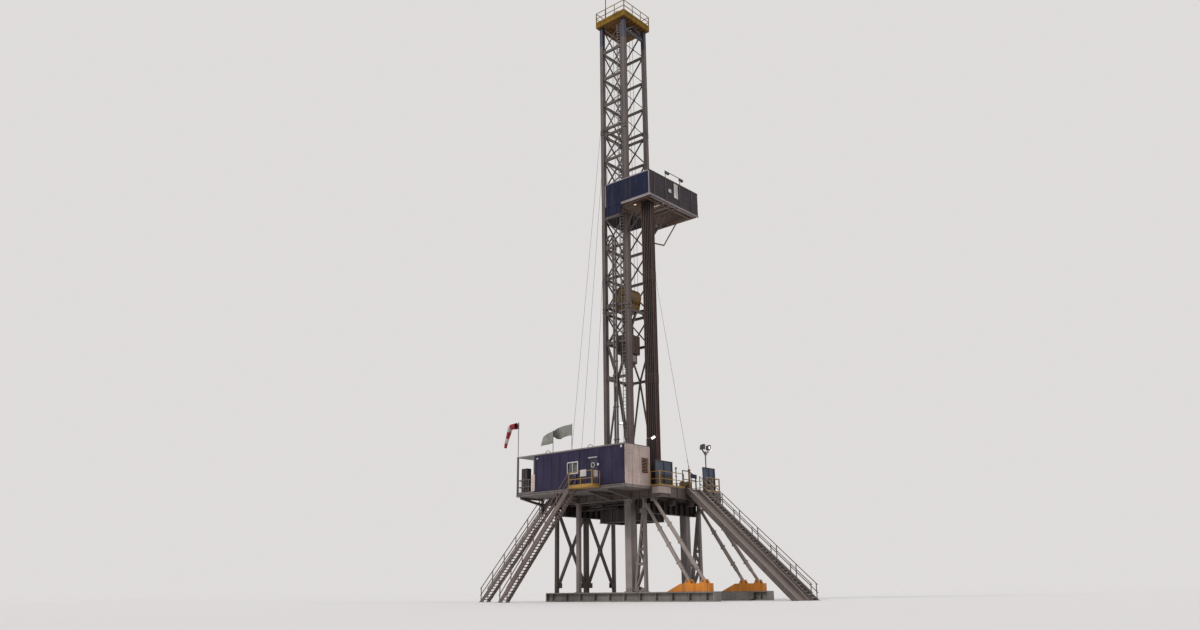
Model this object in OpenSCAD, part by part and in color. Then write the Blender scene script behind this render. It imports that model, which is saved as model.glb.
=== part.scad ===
// Land drilling rig at half scale, in millimetres.
// Origin: the well centre on the ground. +X points down the pipe ramp, the doghouse is on the -Y side.

/* [Rig floor] */
// Height of the rig floor above the ground
floor_z = 4155; // [3700:5:4600]
// Floor edge behind the mast, from the well
floor_back = 2600; // [2500:5:2900]
// Floor edge at the ramp, from the well
floor_front = 3000; // [2900:5:3200]
// Half the floor's width
floor_half = 1985; // [1900:5:2100]
// Thickness of the deck plate
deck_t = 30; // [20:1:60]
// Depth of the floor girders
girder_d = 380; // [300:5:500]
// Depth of the deep beams that carry the well opening
rotary_beam_d = 1100; // [900:5:1150]
// Radius of the hole through the rotary table
rotary_bore_r = 175; // [120:1:200]

/* [Substructure] */
// Height of the two base beams
base_h = 340; // [260:5:420]
// Width of the base beams
base_w = 420; // [340:5:500]
// Length of the base beams behind the floor
base_tail = 300; // [250:5:350]
// Thickness of the base beams' flanges
flange_t = 40; // [30:1:50]
// Thickness of the base beams' webs
web_t = 180; // [120:5:200]
// Reach of the base beams towards the ramp
base_front = 5200; // [4900:10:5600]
// Side of the thick front columns
column_w = 300; // [220:5:320]
// Place of the thick front columns along X
column_x = 1350; // [1250:5:1400]
// Side of the slender middle columns
mid_column_w = 150; // [110:5:200]
// Place of the slender middle columns along X
mid_column_x = -1300; // [-1400:5:-1250]
// Diameter of the raking struts
strut_d = 150; // [110:2:180]
// Height of the yellow shoes above the base beams
shoe_h = 280; // [200:5:340]

/* [Mast] */
// Distance between leg centres along X
mast_d = 1290; // [1200:5:1400]
// Distance between leg centres along Y
mast_w = 1470; // [1400:5:1600]
// Side of a mast leg
leg_w = 170; // [130:5:200]
// Height of the lower mast section, from the floor
lower_h = 7800; // [7400:20:8000]
// Height of a panel of the middle section
mid_panel = 1416; // [1380:2:1450]
// Height of a panel of the top section
top_panel = 1375; // [1340:5:1410]
// Width of the level bracing bars
girt_w = 100; // [80:2:120]
// Width of the sloping bracing bars
brace_w = 50; // [36:2:60]
// Width of the thin sloping bars of the top section
top_brace_w = 32; // [24:2:40]
// Width of the sloping bars of the lower section
lower_brace_w = 66; // [50:2:80]
// Height of the gap at a section joint
joint_gap = 210; // [180:5:260]
// Width of the ladder
ladder_w = 222; // [200:2:240]
// Spacing of the ladder's rungs
rung_pitch = 150; // [130:2:170]
// Diameter of the standpipes
standpipe_d = 90; // [70:2:110]
// Height of the standpipes above the floor
standpipe_up = 11000; // [10800:10:11200]

/* [Crown] */
// Overhang of the crown frame past the legs
crown_lip = 130; // [90:5:200]
// Depth of the crown frame
crown_h = 260; // [200:5:320]
// Height of the pole on the crown
crown_pole_h = 1700; // [1600:10:1800]
// Radius of the sheaves in the crown and the block
sheave_r = 330; // [280:5:350]

/* [Racking board] */
// Height of the board above the floor
board_up = 12100; // [11900:20:12300]
// Edge of the board nearest the mast's back
board_back = 245; // [200:5:300]
// Edge of the board furthest from the mast
board_front = 2640; // [2500:5:2800]
// Half the board's width
board_half = 1695; // [1600:5:1800]
// Height of the board's walls
board_wall_h = 1005; // [900:5:1100]
// Drop of the back part of the wall on the doghouse side
board_wall_drop = 400; // [300:5:450]
// Length of that dropped part
drop_l = 900; // [800:5:1000]
// Drop of the windbreak inside the mast below the board
windbreak_drop = 300; // [200:5:350]
// Thickness of a wall panel
panel_t = 30; // [20:1:40]
// Diameter of the racked pipe
pipe_d = 64; // [50:1:70]
// Diameter of the racked pipe's tool joints
tool_joint_d = 82; // [74:1:86]
// Spacing of the racked pipe
pipe_pitch = 92; // [90:1:100]
// Height of the drill pipe's lower end above the floor, at rest
pipe_clear = 250; // [100:5:400]

/* [Travelling gear] */
// Height of the block's top above the floor, as it hangs at rest
block_up = 8850; // [8600:10:9100]
// Diameter of a drilling line
line_d = 18; // [14:1:22]
// Diameter of the bail that carries the top drive
bail_d = 70; // [60:1:80]

/* [Line winch] */
// Distance of the line winch from the well along X
winch_x = 2300; // [2200:5:2340]
// Distance of the line winch from the well along Y
winch_y = 560; // [540:5:600]
// Width of the line winch
winch_w = 440; // [400:5:480]
// Radius of the winch drum's flanges
winch_r = 170; // [150:5:180]
// Height of the guide post beside the drum
winch_post_h = 870; // [800:5:900]

/* [Doghouse] */
// Length of the doghouse
dog_l = 4590; // [4400:5:4700]
// Depth of the doghouse
dog_w = 1490; // [1400:5:1600]
// Height of the doghouse
dog_h = 1450; // [1350:5:1550]
// End of the doghouse towards the ramp
dog_front = 2520; // [2450:5:2600]
// Thickness of a doghouse wall
wall_t = 50; // [40:1:70]
// Length of the open porch at its back end
porch_l = 1065; // [900:5:1150]
// Width of the door
door_w = 430; // [400:5:450]
// Height of the door
door_h = 1010; // [960:5:1060]
// Place of the side door's middle along X
door_x = 990; // [900:5:1100]
// Width of the window
window_w = 490; // [400:5:520]
// Height of the window
window_h = 390; // [340:5:420]
// Place of the window's middle along X
window_x = -60; // [-150:5:50]
// Length of the landing outside the side door
landing_l = 1200; // [1100:5:1400]
// Width of the landing
landing_w = 470; // [440:5:500]

/* [Stairs and ramp] */
// Width of a stair
stair_w = 420; // [380:5:450]
// Rise of one tread
stair_rise = 110; // [100:1:130]
// Run of the doghouse stair
side_stair_run = 3700; // [3400:10:3900]
// Run of the back stair
back_stair_run = 4200; // [4000:10:4500]
// Depth of a stair's side plates
stringer_w = 150; // [120:2:180]
// Thickness of a tread
tread_t = 14; // [10:1:20]
// Run of the stair beside the ramp
ramp_stair_run = 4600; // [4400:10:4700]
// Run of the pipe ramp
ramp_run = 4450; // [4300:10:4600]
// Width of the pipe ramp
ramp_w = 800; // [700:5:900]
// Depth of a ramp side beam
ramp_beam_h = 190; // [150:5:220]
// Width of a ramp side beam
ramp_beam_w = 90; // [70:5:110]

/* [Wind walls] */
// Height of the wind walls on the floor
wind_wall_h = 950; // [850:5:1050]
// Width of the wind wall on the doghouse side
near_wall_w = 1010; // [900:5:1100]
// Width of the wind wall on the far side
far_wall_w = 800; // [700:5:850]

/* [Rails and masts] */
// Height of the hand rails
rail_h = 550; // [500:5:580]
// Thickness of the rail tubes
rail_t = 24; // [18:1:30]
// Height of the light mast above the floor
light_mast_h = 1650; // [1500:5:1800]
// Height of the windsock's pole above the doghouse roof
sock_pole_h = 1400; // [1300:5:1500]
// Diameter of the windsock at its mouth
sock_d = 260; // [220:5:280]
// Drop of the windsock's tail below its mouth
sock_drop = 900; // [800:5:950]

/* [Hidden] */

eps = 0.3;
hx = mast_d / 2;
hy = mast_w / 2;
in_x = hx - leg_w / 2;
in_y = hy - leg_w / 2;
joint_1 = floor_z + lower_h;
joint_2 = joint_1 + 6 * mid_panel;
crown_z = joint_2 + 4 * top_panel;
lower_1 = joint_1 - 1480;
lower_2 = joint_1 - 3000;
lower_3 = floor_z + 1600;
brace_inset = 60;
leg_foot_t = 40;
portal_knee = 840;
portal_head_drop = 500;
ladder_x = in_x - 260;
standpipe_x = [-110, 20];
bend_r = 150;
crown_x = hx + leg_w / 2 + crown_lip;
crown_y = hy + leg_w / 2 + crown_lip;
crown_side = 90;
crown_flange = 30;
sheave_y = [-330, -110, 110, 330];
sheave_t = 90;
sheave_web = 36;
groove_r = 30;
rim_r = sheave_r - groove_r - 25;
hub_r = 85;
axle_r = 50;
axle_l = 2 * (sheave_y[3] + 150);
crown_slot = sheave_r + 30;
crown_axle_z = crown_z + crown_h + 160;
line_x = sheave_r - groove_r + line_d / 2 + eps;
block_top = floor_z + block_up;
block_axle_z = block_top - 400;
block_drop = 660;
block_foot_w = 480;
cheek_y = [-435, -220, 0, 220, 435];
cheek_t = 50;
cheek_lip = 60;
clevis_h = 330;
clevis_pin_r = 60;
bail_y = 300;
winch_z = floor_z + 70 + winch_r;
board_z = floor_z + board_up;
girder_top = floor_z - deck_t;
girder_bottom = girder_top - girder_d;
frame_y = floor_half - base_w / 2;
back_x = -floor_back + 110;
dog_back = dog_front - dog_l;
dog_y1 = -floor_half;
dog_y0 = dog_y1 - dog_w;
porch_x = dog_back - porch_l;
slab_t = 60;
beam_w = 140;
girder_x = 2250;
well_half_x = 960;
well_half_y = 560;
table_rim = 130;
end_plate = 50;
column_plate = 30;
spreader_x = [-floor_back, -700, column_x, base_front - 700];
spreader_w = 180;
spreader_z = 60;
roof_t = 40;
roof_z = floor_z + dog_h + roof_t;
window_z = floor_z + 580;
door_t = 24;
door_inset = 8;
pane_t = 12;
pane_inset = 20;
porch_post = 60;
porch_post_drop = 350;
bracket_w = 90;
bracket_x = [dog_back + 900, 600, dog_front - 950];
stair_side_t = 30;
dog_floor_t = 120;
landing_x0 = door_x + door_w / 2 + 120 - landing_l;
landing_y0 = dog_y0 - landing_w;
rise_n = floor(floor_z / stair_rise);
step_z = floor_z / (rise_n + 1);

// A block between two corners
module block(x0, x1, y0, y1, z0, z1) {
  translate([x0, y0, z0]) cube([x1 - x0, y1 - y0, z1 - z0]);
}

// A flat bar of width w from a to b, in a drawing plane
module bar(a, b, w) {
  l = norm(b - a);
  translate(a) rotate(atan2(b[1] - a[1], b[0] - a[0])) translate([0, -w / 2]) square([l, w]);
}

// A drawing in X and Z raised to a plate from y to y + t
module xz(y, t) {
  translate([0, y + t, 0]) rotate([90, 0, 0]) linear_extrude(t) children();
}

// A drawing in Y and Z raised to a plate from x to x + t
module yz(x, t) {
  translate([x, 0, 0]) rotate([90, 0, 90]) linear_extrude(t) children();
}

// A rod of diameter d between two points
module rod(a, b, d, sides = 8) {
  v = b - a;
  l = norm(v);
  translate(a) rotate([0, acos(v[2] / l), atan2(v[1], v[0])]) cylinder(h = l, d = d, $fn = sides);
}

// A straight hand rail from u0 to u1, standing on v
module rail_drawing(u0, u1, v, h = rail_h, bays = 0) {
  n = bays > 0 ? bays : max(1, round((u1 - u0) / 700));
  for (i = [0:n]) {
    translate([u0 + (u1 - u0 - rail_t) * i / n, v]) square([rail_t, h]);
  }
  for (k = [0.5, 1]) {
    translate([u0, v + k * h - rail_t]) square([u1 - u0, rail_t]);
  }
  translate([u0, v]) square([u1 - u0, 60]);
}

/* Substructure */

module base_beams() {
  back = -floor_back - base_tail;
  color("dimgray") for (s = [-1, 1]) {
    y = s * frame_y;
    difference() {
      block(back, base_front, y - base_w / 2, y + base_w / 2, 0, base_h);
      block(back + end_plate, base_front - end_plate, y - base_w / 2 - 1, y - web_t / 2, flange_t, base_h - flange_t);
      block(back + end_plate, base_front - end_plate, y + web_t / 2, y + base_w / 2 + 1, flange_t, base_h - flange_t);
    }
  }
}

module base_spreaders() {
  inner = frame_y - base_w / 2;
  color("dimgray") for (x = spreader_x) {
    block(x - spreader_w / 2, x + spreader_w / 2, -inner, inner, spreader_z, base_h - flange_t);
  }
}

strut_foot = [base_front - 1180, base_front - 510];
strut_pin_r = 60;
shoe_back = base_front - 2100;
shoe_crest = base_front - 1480;
shoe_front = base_front - 250;
lattice_x = 2060;
strut_head = [[lattice_x + 45 + strut_pin_r + eps, 3480], [2520, girder_bottom - strut_pin_r - eps]];
pin_z = base_h + shoe_h + 80;

module shoe_drawing() {
  top = base_h + shoe_h;
  polygon([[shoe_back, base_h], [shoe_front, base_h], [shoe_front, top], [shoe_crest, top]]);
  for (x = strut_foot) {
    polygon([[x - 130, top], [x + 130, top], [x + 50, pin_z + strut_pin_r], [x - 50, pin_z + strut_pin_r]]);
  }
}

module strut_shoes() {
  color("goldenrod") for (s = [-1, 1]) {
    difference() {
      xz(s * frame_y - 140, 280) shoe_drawing();
      for (x = strut_foot) {
        block(x - 140, x + 140, s * frame_y - strut_d / 2 - eps, s * frame_y + strut_d / 2 + eps,
          base_h + shoe_h - 40, pin_z + 70);
      }
    }
  }
}

module front_struts() {
  color("silver") for (s = [-1, 1], i = [0, 1]) {
    foot = [strut_foot[i], s * frame_y, pin_z];
    head = [strut_head[i][0], s * frame_y, strut_head[i][1]];
    v = (head - foot) / norm(head - foot);
    union() {
      rod(foot + v * 30, head - v * 30, strut_d * 0.8, 12);
      rod(foot + v * 500, head - v * 900, strut_d, 12);
      for (p = [foot, head]) {
        translate(p) rotate([90, 0, 0]) cylinder(h = strut_d, r = strut_pin_r, center = true, $fn = 24);
      }
    }
  }
}

module front_columns() {
  plate_w = column_w + 80;
  color("darkgray") for (s = [-1, 1]) {
    translate([column_x, s * frame_y, 0]) union() {
      translate([0, 0, base_h + column_plate]) linear_extrude(girder_bottom - base_h - 2 * column_plate)
        square(column_w, center = true);
      for (z = [base_h, girder_bottom - column_plate]) {
        translate([0, 0, z]) linear_extrude(column_plate) square(plate_w, center = true);
      }
    }
  }
}

module middle_columns() {
  w = mid_column_w / 2;
  color("gray") for (s = [-1, 1]) {
    block(mid_column_x - w, mid_column_x + w, s * frame_y - w, s * frame_y + w, base_h, girder_bottom);
  }
}

module lattice_drawing() {
  b = base_h;
  x = lattice_x;
  bar([x, b], [x, girder_bottom], 90);
  bar([x - 480, b], [x - 20, strut_head[0][1]], 80);
  bar([x - 480, b + 40], [x, b + 40], 80);
  bar([x - 350, b + 1000], [x, b + 1000], 80);
  bar([x - 450, b + 100], [x - 20, b + 960], 60);
  bar([x - 290, b + 1500], [x - 20, b + 1040], 50);
  bar([x - 180, b + 2200], [x - 20, b + 1600], 50);
}

module lattice_legs() {
  color("gray") for (s = [-1, 1]) {
    xz(s * frame_y - 75, 150) intersection() {
      lattice_drawing();
      translate([0, base_h]) square([4000, girder_bottom - base_h]);
    }
  }
}

module rear_drawing() {
  b = base_h;
  t = girder_bottom;
  for (y = [-1, 0, 1]) {
    w = y == 0 ? 220 : 130;
    translate([y * frame_y - w / 2, b]) square([w, t - b]);
  }
  for (y = [-frame_y, 0]) {
    bar([y + 30, b + 150], [y + frame_y - 30, t - 150], 70);
    bar([y + 30, t - 150], [y + frame_y - 30, b + 150], 70);
  }
  translate([-frame_y, t - 120]) square([2 * frame_y, 120]);
}

module rear_frame() {
  color("dimgray") yz(back_x - 65, 130) rear_drawing();
}

/* Floor */

module floor_girders() {
  inner = frame_y - 130;
  color("dimgray") difference() {
    block(-floor_back, floor_front, -floor_half, floor_half, girder_bottom, girder_top);
    for (x = [
      [-floor_back + beam_w, -hx - 200], [-hx - 200 + beam_w, hx + 200 - beam_w],
      [hx + 200, girder_x], [girder_x + beam_w, floor_front - beam_w]
    ]) {
      for (y = [[-inner, -well_half_y - beam_w], [-well_half_y, well_half_y], [well_half_y + beam_w, inner]]) {
        block(x[0], x[1], y[0], y[1], girder_bottom - 1, girder_top + 1);
      }
    }
  }
}

module rotary_beams() {
  low = girder_top - rotary_beam_d;
  color("dimgray") difference() {
    block(-well_half_x - beam_w, well_half_x + beam_w, -well_half_y - beam_w, well_half_y + beam_w, low, girder_bottom);
    block(-well_half_x, well_half_x, -well_half_y, well_half_y, low - 1, girder_bottom + 1);
  }
}

module floor_deck() {
  color("slategray") difference() {
    block(-floor_back, floor_front, -floor_half, floor_half, girder_top, floor_z);
    translate([0, 0, girder_top - 1]) cylinder(h = deck_t + 2, r = rotary_bore_r + table_rim, $fn = 48);
  }
}

module rotary_table() {
  r = rotary_bore_r;
  color("firebrick") difference() {
    union() {
      translate([0, 0, girder_top]) cylinder(h = deck_t, r = r + table_rim, $fn = 48);
      translate([0, 0, girder_top - 130]) cylinder(h = 130, r = r + 90, $fn = 48);
      block(-70 - r, 70 + r, -well_half_y + eps, well_half_y - eps, girder_top - 190, girder_top - 130);
      translate([0, 0, floor_z]) cylinder(h = 40, r = r + 110, $fn = 48);
    }
    translate([0, 0, girder_top - 400]) cylinder(h = 900, r = r, $fn = 48);
  }
}

/* Doghouse */

module doghouse_floor() {
  color("dimgray") block(porch_x, dog_front, dog_y0, dog_y1, floor_z - dog_floor_t, floor_z);
}

module wall_openings(y) {
  translate([door_x - door_w / 2, y - 1, floor_z]) cube([door_w, wall_t + 2, door_h]);
  translate([window_x - window_w / 2, y - 1, window_z]) cube([window_w, wall_t + 2, window_h]);
}

module doghouse_side_wall() {
  color("darkslateblue") difference() {
    block(dog_back, dog_front, dog_y0, dog_y0 + wall_t, floor_z, floor_z + dog_h);
    wall_openings(dog_y0);
  }
}

inner_door_x = -900;

module doghouse_inner_wall() {
  color("darkslateblue") difference() {
    block(dog_back, dog_front, dog_y1 - wall_t, dog_y1, floor_z, floor_z + dog_h);
    block(inner_door_x - door_w / 2, inner_door_x + door_w / 2, dog_y1 - wall_t - 1, dog_y1 + 1, floor_z,
      floor_z + door_h);
  }
}

louvre_y0 = dog_y1 - 520;
louvre_w = 435;
louvre_z = floor_z + 440;
louvre_h = 600;
louvre_n = 10;
louvre_proud = 12;
porch_door_y = dog_y0 + 500;

module doghouse_end_walls() {
  color("antiquewhite") {
    difference() {
      block(dog_front - wall_t, dog_front, dog_y0 + wall_t, dog_y1 - wall_t, floor_z, floor_z + dog_h);
      block(dog_front - wall_t - 1, dog_front + 1, louvre_y0, louvre_y0 + louvre_w, louvre_z, louvre_z + louvre_h);
    }
    difference() {
      block(dog_back, dog_back + wall_t, dog_y0 + wall_t, dog_y1 - wall_t, floor_z, floor_z + dog_h);
      block(dog_back - 1, dog_back + wall_t + 1, porch_door_y - door_w / 2, porch_door_y + door_w / 2, floor_z,
        floor_z + door_h);
    }
  }
}

module doghouse_roof() {
  color("lightgray") block(porch_x, dog_front, dog_y0, dog_y1, floor_z + dog_h, roof_z);
}

// A door leaf seen along Y, with its middle at x
module leaf_y(x, y) {
  block(x - door_w / 2 + eps, x + door_w / 2 - eps, y, y + door_t, floor_z + eps, floor_z + door_h - eps);
}

module doghouse_doors() {
  y = porch_door_y;
  color("slategray") {
    leaf_y(door_x, dog_y0 + door_inset);
    leaf_y(inner_door_x, dog_y1 - door_inset - door_t);
    block(dog_back + door_inset, dog_back + door_inset + door_t, y - door_w / 2 + eps, y + door_w / 2 - eps,
      floor_z + eps, floor_z + door_h - eps);
  }
}

module doghouse_window() {
  color("lightblue") block(window_x - window_w / 2, window_x + window_w / 2, dog_y0 + pane_inset,
    dog_y0 + pane_inset + pane_t, window_z, window_z + window_h);
}

module doghouse_louvre() {
  x = dog_front - wall_t;
  rim = 25;
  blade = (louvre_h - 2 * rim) / louvre_n;
  color("tan") translate([x, louvre_y0, louvre_z]) union() {
    difference() {
      cube([wall_t + louvre_proud, louvre_w, louvre_h]);
      translate([-1, rim, rim]) cube([wall_t + louvre_proud + 2, louvre_w - 2 * rim, louvre_h - 2 * rim]);
    }
    for (i = [1:louvre_n - 1]) {
      translate([0, rim - 5, rim + i * blade]) cube([wall_t, louvre_w - 2 * rim + 10, 12]);
    }
  }
}

// A triangular bracket under the doghouse floor, its middle at x
module bracket(x) {
  top = floor_z - dog_floor_t;
  tip = dog_y0 + 200;
  yz(x - bracket_w / 2, bracket_w) difference() {
    polygon([[-floor_half, girder_bottom], [-floor_half, top], [tip, top], [tip, top - 70]]);
    polygon([
      [-floor_half - 80, girder_bottom + 110], [-floor_half - 80, top - 60], [tip + 420, top - 60]
    ]);
  }
}

module doghouse_brackets() {
  end = porch_x + bracket_w / 2;
  y = -floor_half - bracket_w;
  color("gray") {
    for (x = bracket_x) bracket(x);
    union() {
      bracket(end);
      block(porch_x, porch_x + bracket_w, y, -floor_half, girder_bottom - porch_post_drop, girder_bottom + 80);
      block(porch_x, -floor_back + 250, y, -floor_half, girder_bottom, girder_bottom + 120);
    }
  }
}

module porch_frame() {
  p = porch_post;
  color("gray") for (y = [dog_y0, dog_y1 - p], x = [porch_x, dog_back - 2 * p]) {
    block(x, x + p, y, y + p, floor_z, floor_z + dog_h);
  }
}

module porch_rails() {
  p = porch_post;
  inset = (p - rail_t) / 2;
  color("gray") {
    xz(dog_y0 + inset, rail_t) rail_drawing(porch_x + p, dog_back - 2 * p, floor_z, rail_h, 3);
    yz(porch_x + inset, rail_t) rail_drawing(dog_y0 + p, dog_y1 - p, floor_z, rail_h, 3);
  }
}

module door_landing() {
  color("goldenrod") block(landing_x0, landing_x0 + landing_l, landing_y0, dog_y0, floor_z - slab_t, floor_z);
}

module landing_rails() {
  color("gold") {
    xz(landing_y0, rail_t) rail_drawing(landing_x0 + 30, landing_x0 + landing_l, floor_z);
    yz(landing_x0 + landing_l - rail_t, rail_t) rail_drawing(landing_y0 + rail_t, dog_y0, floor_z, rail_h, 1);
  }
}

/* Floor rails, walls and light mast */

module front_rails() {
  color("gold") {
    yz(floor_front - rail_t, rail_t) {
      rail_drawing(-floor_half, -ramp_w / 2 - 60, floor_z);
    }
    yz(floor_front - rail_t, rail_t) rail_drawing(ramp_stair_y + stair_w + 60, floor_half, floor_z, rail_h, 2);
    xz(-floor_half, rail_t) rail_drawing(dog_front + 5, floor_front - rail_t, floor_z, rail_h, 1);
  }
}

module back_rails() {
  color("gold") {
    xz(floor_half - rail_t, rail_t) rail_drawing(-floor_back, floor_front - rail_t, floor_z);
    yz(-floor_back, rail_t) rail_drawing(back_stair_y + stair_w, floor_half - rail_t, floor_z);
  }
}

wind_wall_x = floor_front - 250;
wind_post = 40;
wind_wall_y = [
  [-floor_half + 35, -floor_half + 35 + near_wall_w], [floor_half - 40 - far_wall_w, floor_half - 40]
];

module wind_walls() {
  x = wind_wall_x + panel_t;
  color("steelblue") for (y = wind_wall_y) {
    union() {
      block(wind_wall_x, x, y[0], y[1], floor_z, floor_z + wind_wall_h);
      for (u = [0, 0.5, 1]) {
        v = y[0] + (y[1] - y[0] - wind_post) * u;
        block(x, x + wind_post, v, v + wind_post, floor_z, floor_z + wind_wall_h);
      }
    }
  }
}

light_y = floor_half - 425;
lamp_reach = 200;
lamp_w = 120;
lamp_h = 180;

module light_mast() {
  x = wind_wall_x - 100;
  top = floor_z + light_mast_h;
  color("dimgray") union() {
    translate([x, light_y, floor_z]) cylinder(h = light_mast_h, d = 50, $fn = 12);
    translate([x, light_y, floor_z]) cylinder(h = 20, d = 140, $fn = 12);
    rod([x, light_y - lamp_reach, top - 10], [x, light_y + lamp_reach, top - 10], 30);
    for (s = [-1, 1]) {
      y = light_y + s * lamp_reach;
      rod([x, light_y, top - 140], [x, y, top + 90], 30);
      block(x - lamp_w / 2, x + lamp_w / 2, y - lamp_w / 2, y + lamp_w / 2, top + 80, top + 80 + lamp_h);
    }
  }
}

// Drawing of a cheek plate: a disc over the drum's axle on a foot that widens to the skid
module winch_cheek_drawing() {
  r = winch_r * 0.7;
  translate([winch_x, winch_z]) circle(r = r, $fn = 48);
  polygon([
    [winch_x - winch_r, floor_z + 40], [winch_x + winch_r, floor_z + 40],
    [winch_x + r, winch_z], [winch_x - r, winch_z]
  ]);
}

module line_winch() {
  half = winch_w / 2;
  post_x = winch_x + winch_r + 20;
  post_top = floor_z + winch_post_h;
  color("goldenrod") union() {
    block(winch_x - winch_r - 20, post_x + 60, winch_y - half, winch_y + half, floor_z, floor_z + 50);
    for (y = [winch_y - half, winch_y + half - 30]) {
      xz(y, 30) winch_cheek_drawing();
    }
    translate([winch_x, winch_y, winch_z]) rotate([90, 0, 0]) {
      cylinder(h = winch_w - 40, r = winch_r * 0.5, center = true, $fn = 48);
      for (s = [-1, 1]) {
        translate([0, 0, s * (half - 60) - 10]) cylinder(h = 20, r = winch_r, $fn = 48);
      }
    }
    translate([winch_x, winch_y + half + 140, winch_z]) rotate([90, 0, 0]) cylinder(h = 145, r = 75, $fn = 32);
    block(post_x, post_x + 60, winch_y - 30, winch_y + 30, floor_z + 40, post_top - 50);
    xz(winch_y - 30, 60) translate([post_x + 30, post_top - 50]) circle(r = 50, $fn = 32);
  }
}

/* Stairs and ramp */

// Treads of a flight that goes down from x by run, along X by dir
module flight_treads(x, y, run, dir, w) {
  go = run / (rise_n + 1);
  for (i = [1:rise_n]) {
    x0 = x + dir * go * i;
    z = floor_z - i * step_z;
    block(min(x0, x0 - dir * go), max(x0, x0 - dir * go), y + stair_side_t, y + w - stair_side_t, z - tread_t, z);
  }
}

// One side of that flight: a sloping plate with a hand rail above it
module flight_side(x, y, run, dir) {
  foot = x + dir * run;
  slope = floor_z / run;
  drop = 60;
  n = 6;
  xz(y, stair_side_t) intersection() {
    union() {
      bar([x, floor_z - drop], [foot + dir * 100, -drop - 100 * slope], stringer_w);
      for (k = [0.5, 1]) {
        bar([x, floor_z + k * rail_h - rail_t / 2], [foot, k * rail_h - rail_t / 2], rail_t);
      }
      for (i = [0:n]) {
        px = x + dir * (rail_t / 2 + (run - drop) * i / n);
        pz = floor_z - abs(px - x) * slope;
        translate([px - rail_t / 2, pz - drop]) square([rail_t, rail_h + drop - 5]);
      }
    }
    translate([dir < 0 ? foot - 200 : x, 0]) square([run + 200, floor_z + rail_h + 10]);
  }
}

side_stair_x = landing_x0;
side_stair_y = landing_y0 + 20;

module side_stair_treads() {
  color("gray") flight_treads(side_stair_x, side_stair_y, side_stair_run, -1, stair_w);
}

module side_stair_sides() {
  color("darkgray") for (y = [side_stair_y, side_stair_y + stair_w - stair_side_t]) {
    flight_side(side_stair_x, y, side_stair_run, -1);
  }
}

back_stair_y = -floor_half;

module back_stair_treads() {
  color("gray") flight_treads(-floor_back, back_stair_y, back_stair_run, -1, stair_w);
}

module back_stair_sides() {
  color("darkgray") for (y = [back_stair_y, back_stair_y + stair_w - stair_side_t]) {
    flight_side(-floor_back, y, back_stair_run, -1);
  }
}

ramp_stair_y = ramp_w / 2 + 150;

module ramp_stair_treads() {
  color("gray") flight_treads(floor_front, ramp_stair_y, ramp_stair_run, 1, stair_w);
}

module ramp_stair_sides() {
  color("darkgray") for (y = [ramp_stair_y, ramp_stair_y + stair_w - stair_side_t]) {
    flight_side(floor_front, y, ramp_stair_run, 1);
  }
}

module pipe_ramp() {
  head = [floor_front - 200, floor_z + 180];
  foot = [floor_front + ramp_run + 300, -280];
  color("darkgray") intersection() {
    union() {
      for (y = [-ramp_w / 2, ramp_w / 2 - ramp_beam_w]) {
        xz(y, ramp_beam_w) bar(head, foot, ramp_beam_h);
      }
      xz(-ramp_w / 2 + ramp_beam_w - 10, ramp_w - 2 * ramp_beam_w + 20) bar(head - [0, 40], foot - [0, 40], 24);
    }
    block(floor_front, floor_front + ramp_run + 100, -ramp_w, ramp_w, 0, floor_z);
  }
}

/* Mast */

module mast_legs() {
  color("gray") for (sx = [-1, 1], sy = [-1, 1]) {
    translate([sx * hx, sy * hy, 0]) union() {
      translate([0, 0, floor_z]) linear_extrude(leg_foot_t) square(leg_w + 130, center = true);
      translate([0, 0, floor_z + leg_foot_t]) linear_extrude(crown_z - floor_z - leg_foot_t)
        square(leg_w, center = true);
      for (z = [joint_1, joint_2]) {
        translate([sx * (leg_w / 2 + 15), 0, z]) cube([30, 110, 260], center = true);
      }
    }
  }
}

// Crossed bars of a mast side's panel: a is the width of the bar that rises to the right, b of the other
module panel_cross(u, v0, v1, a, b) {
  bar([-u, v0], [u, v1], a);
  bar([-u, v1], [u, v0], b);
}

// The level bar of a mast side with its lower edge at v
module girt(u, v) {
  translate([-u, v]) square([2 * u, girt_w]);
}

module mast_side(u) {
  translate([-u, floor_z + leg_foot_t]) square([2 * u, crown_z - floor_z - leg_foot_t]);
}

module girt_drawing(u) {
  for (z = [joint_1, joint_2]) {
    girt(u, z - joint_gap / 2 - girt_w);
    girt(u, z + joint_gap / 2);
  }
  for (i = [1:5]) girt(u, joint_1 + i * mid_panel - girt_w / 2);
  for (i = [1:3]) girt(u, joint_2 + i * top_panel - girt_w / 2);
  for (z = [lower_1, lower_2, lower_3]) girt(u, z - girt_w / 2);
}

module brace_drawing(u, rising) {
  intersection() {
    union() {
      for (i = [0:5]) {
        z = joint_1 + i * mid_panel;
        panel_cross(u, z + brace_inset, z + mid_panel - brace_inset, brace_w, brace_w);
      }
      for (i = [0:3]) {
        z = joint_2 + i * top_panel;
        panel_cross(u, z + brace_inset, z + top_panel - brace_inset, rising, top_brace_w);
      }
      panel_cross(u, lower_1, joint_1 - joint_gap / 2 - girt_w, brace_w, brace_w);
      for (s = [-1, 1]) {
        bar([s * u, lower_1], [0, lower_2], lower_brace_w);
        bar([0, lower_2], [s * u, lower_3], lower_brace_w);
        bar([s * u, floor_z + brace_inset], [0, lower_3], lower_brace_w);
      }
    }
    mast_side(u);
  }
}

// A whole side of the mast in X and Z, in the plane y
module mast_side_xz(y, rising) {
  union() {
    xz(y - girt_w / 2, girt_w) girt_drawing(in_x);
    xz(y - brace_w / 2, brace_w) brace_drawing(in_x, rising);
  }
}

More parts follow.
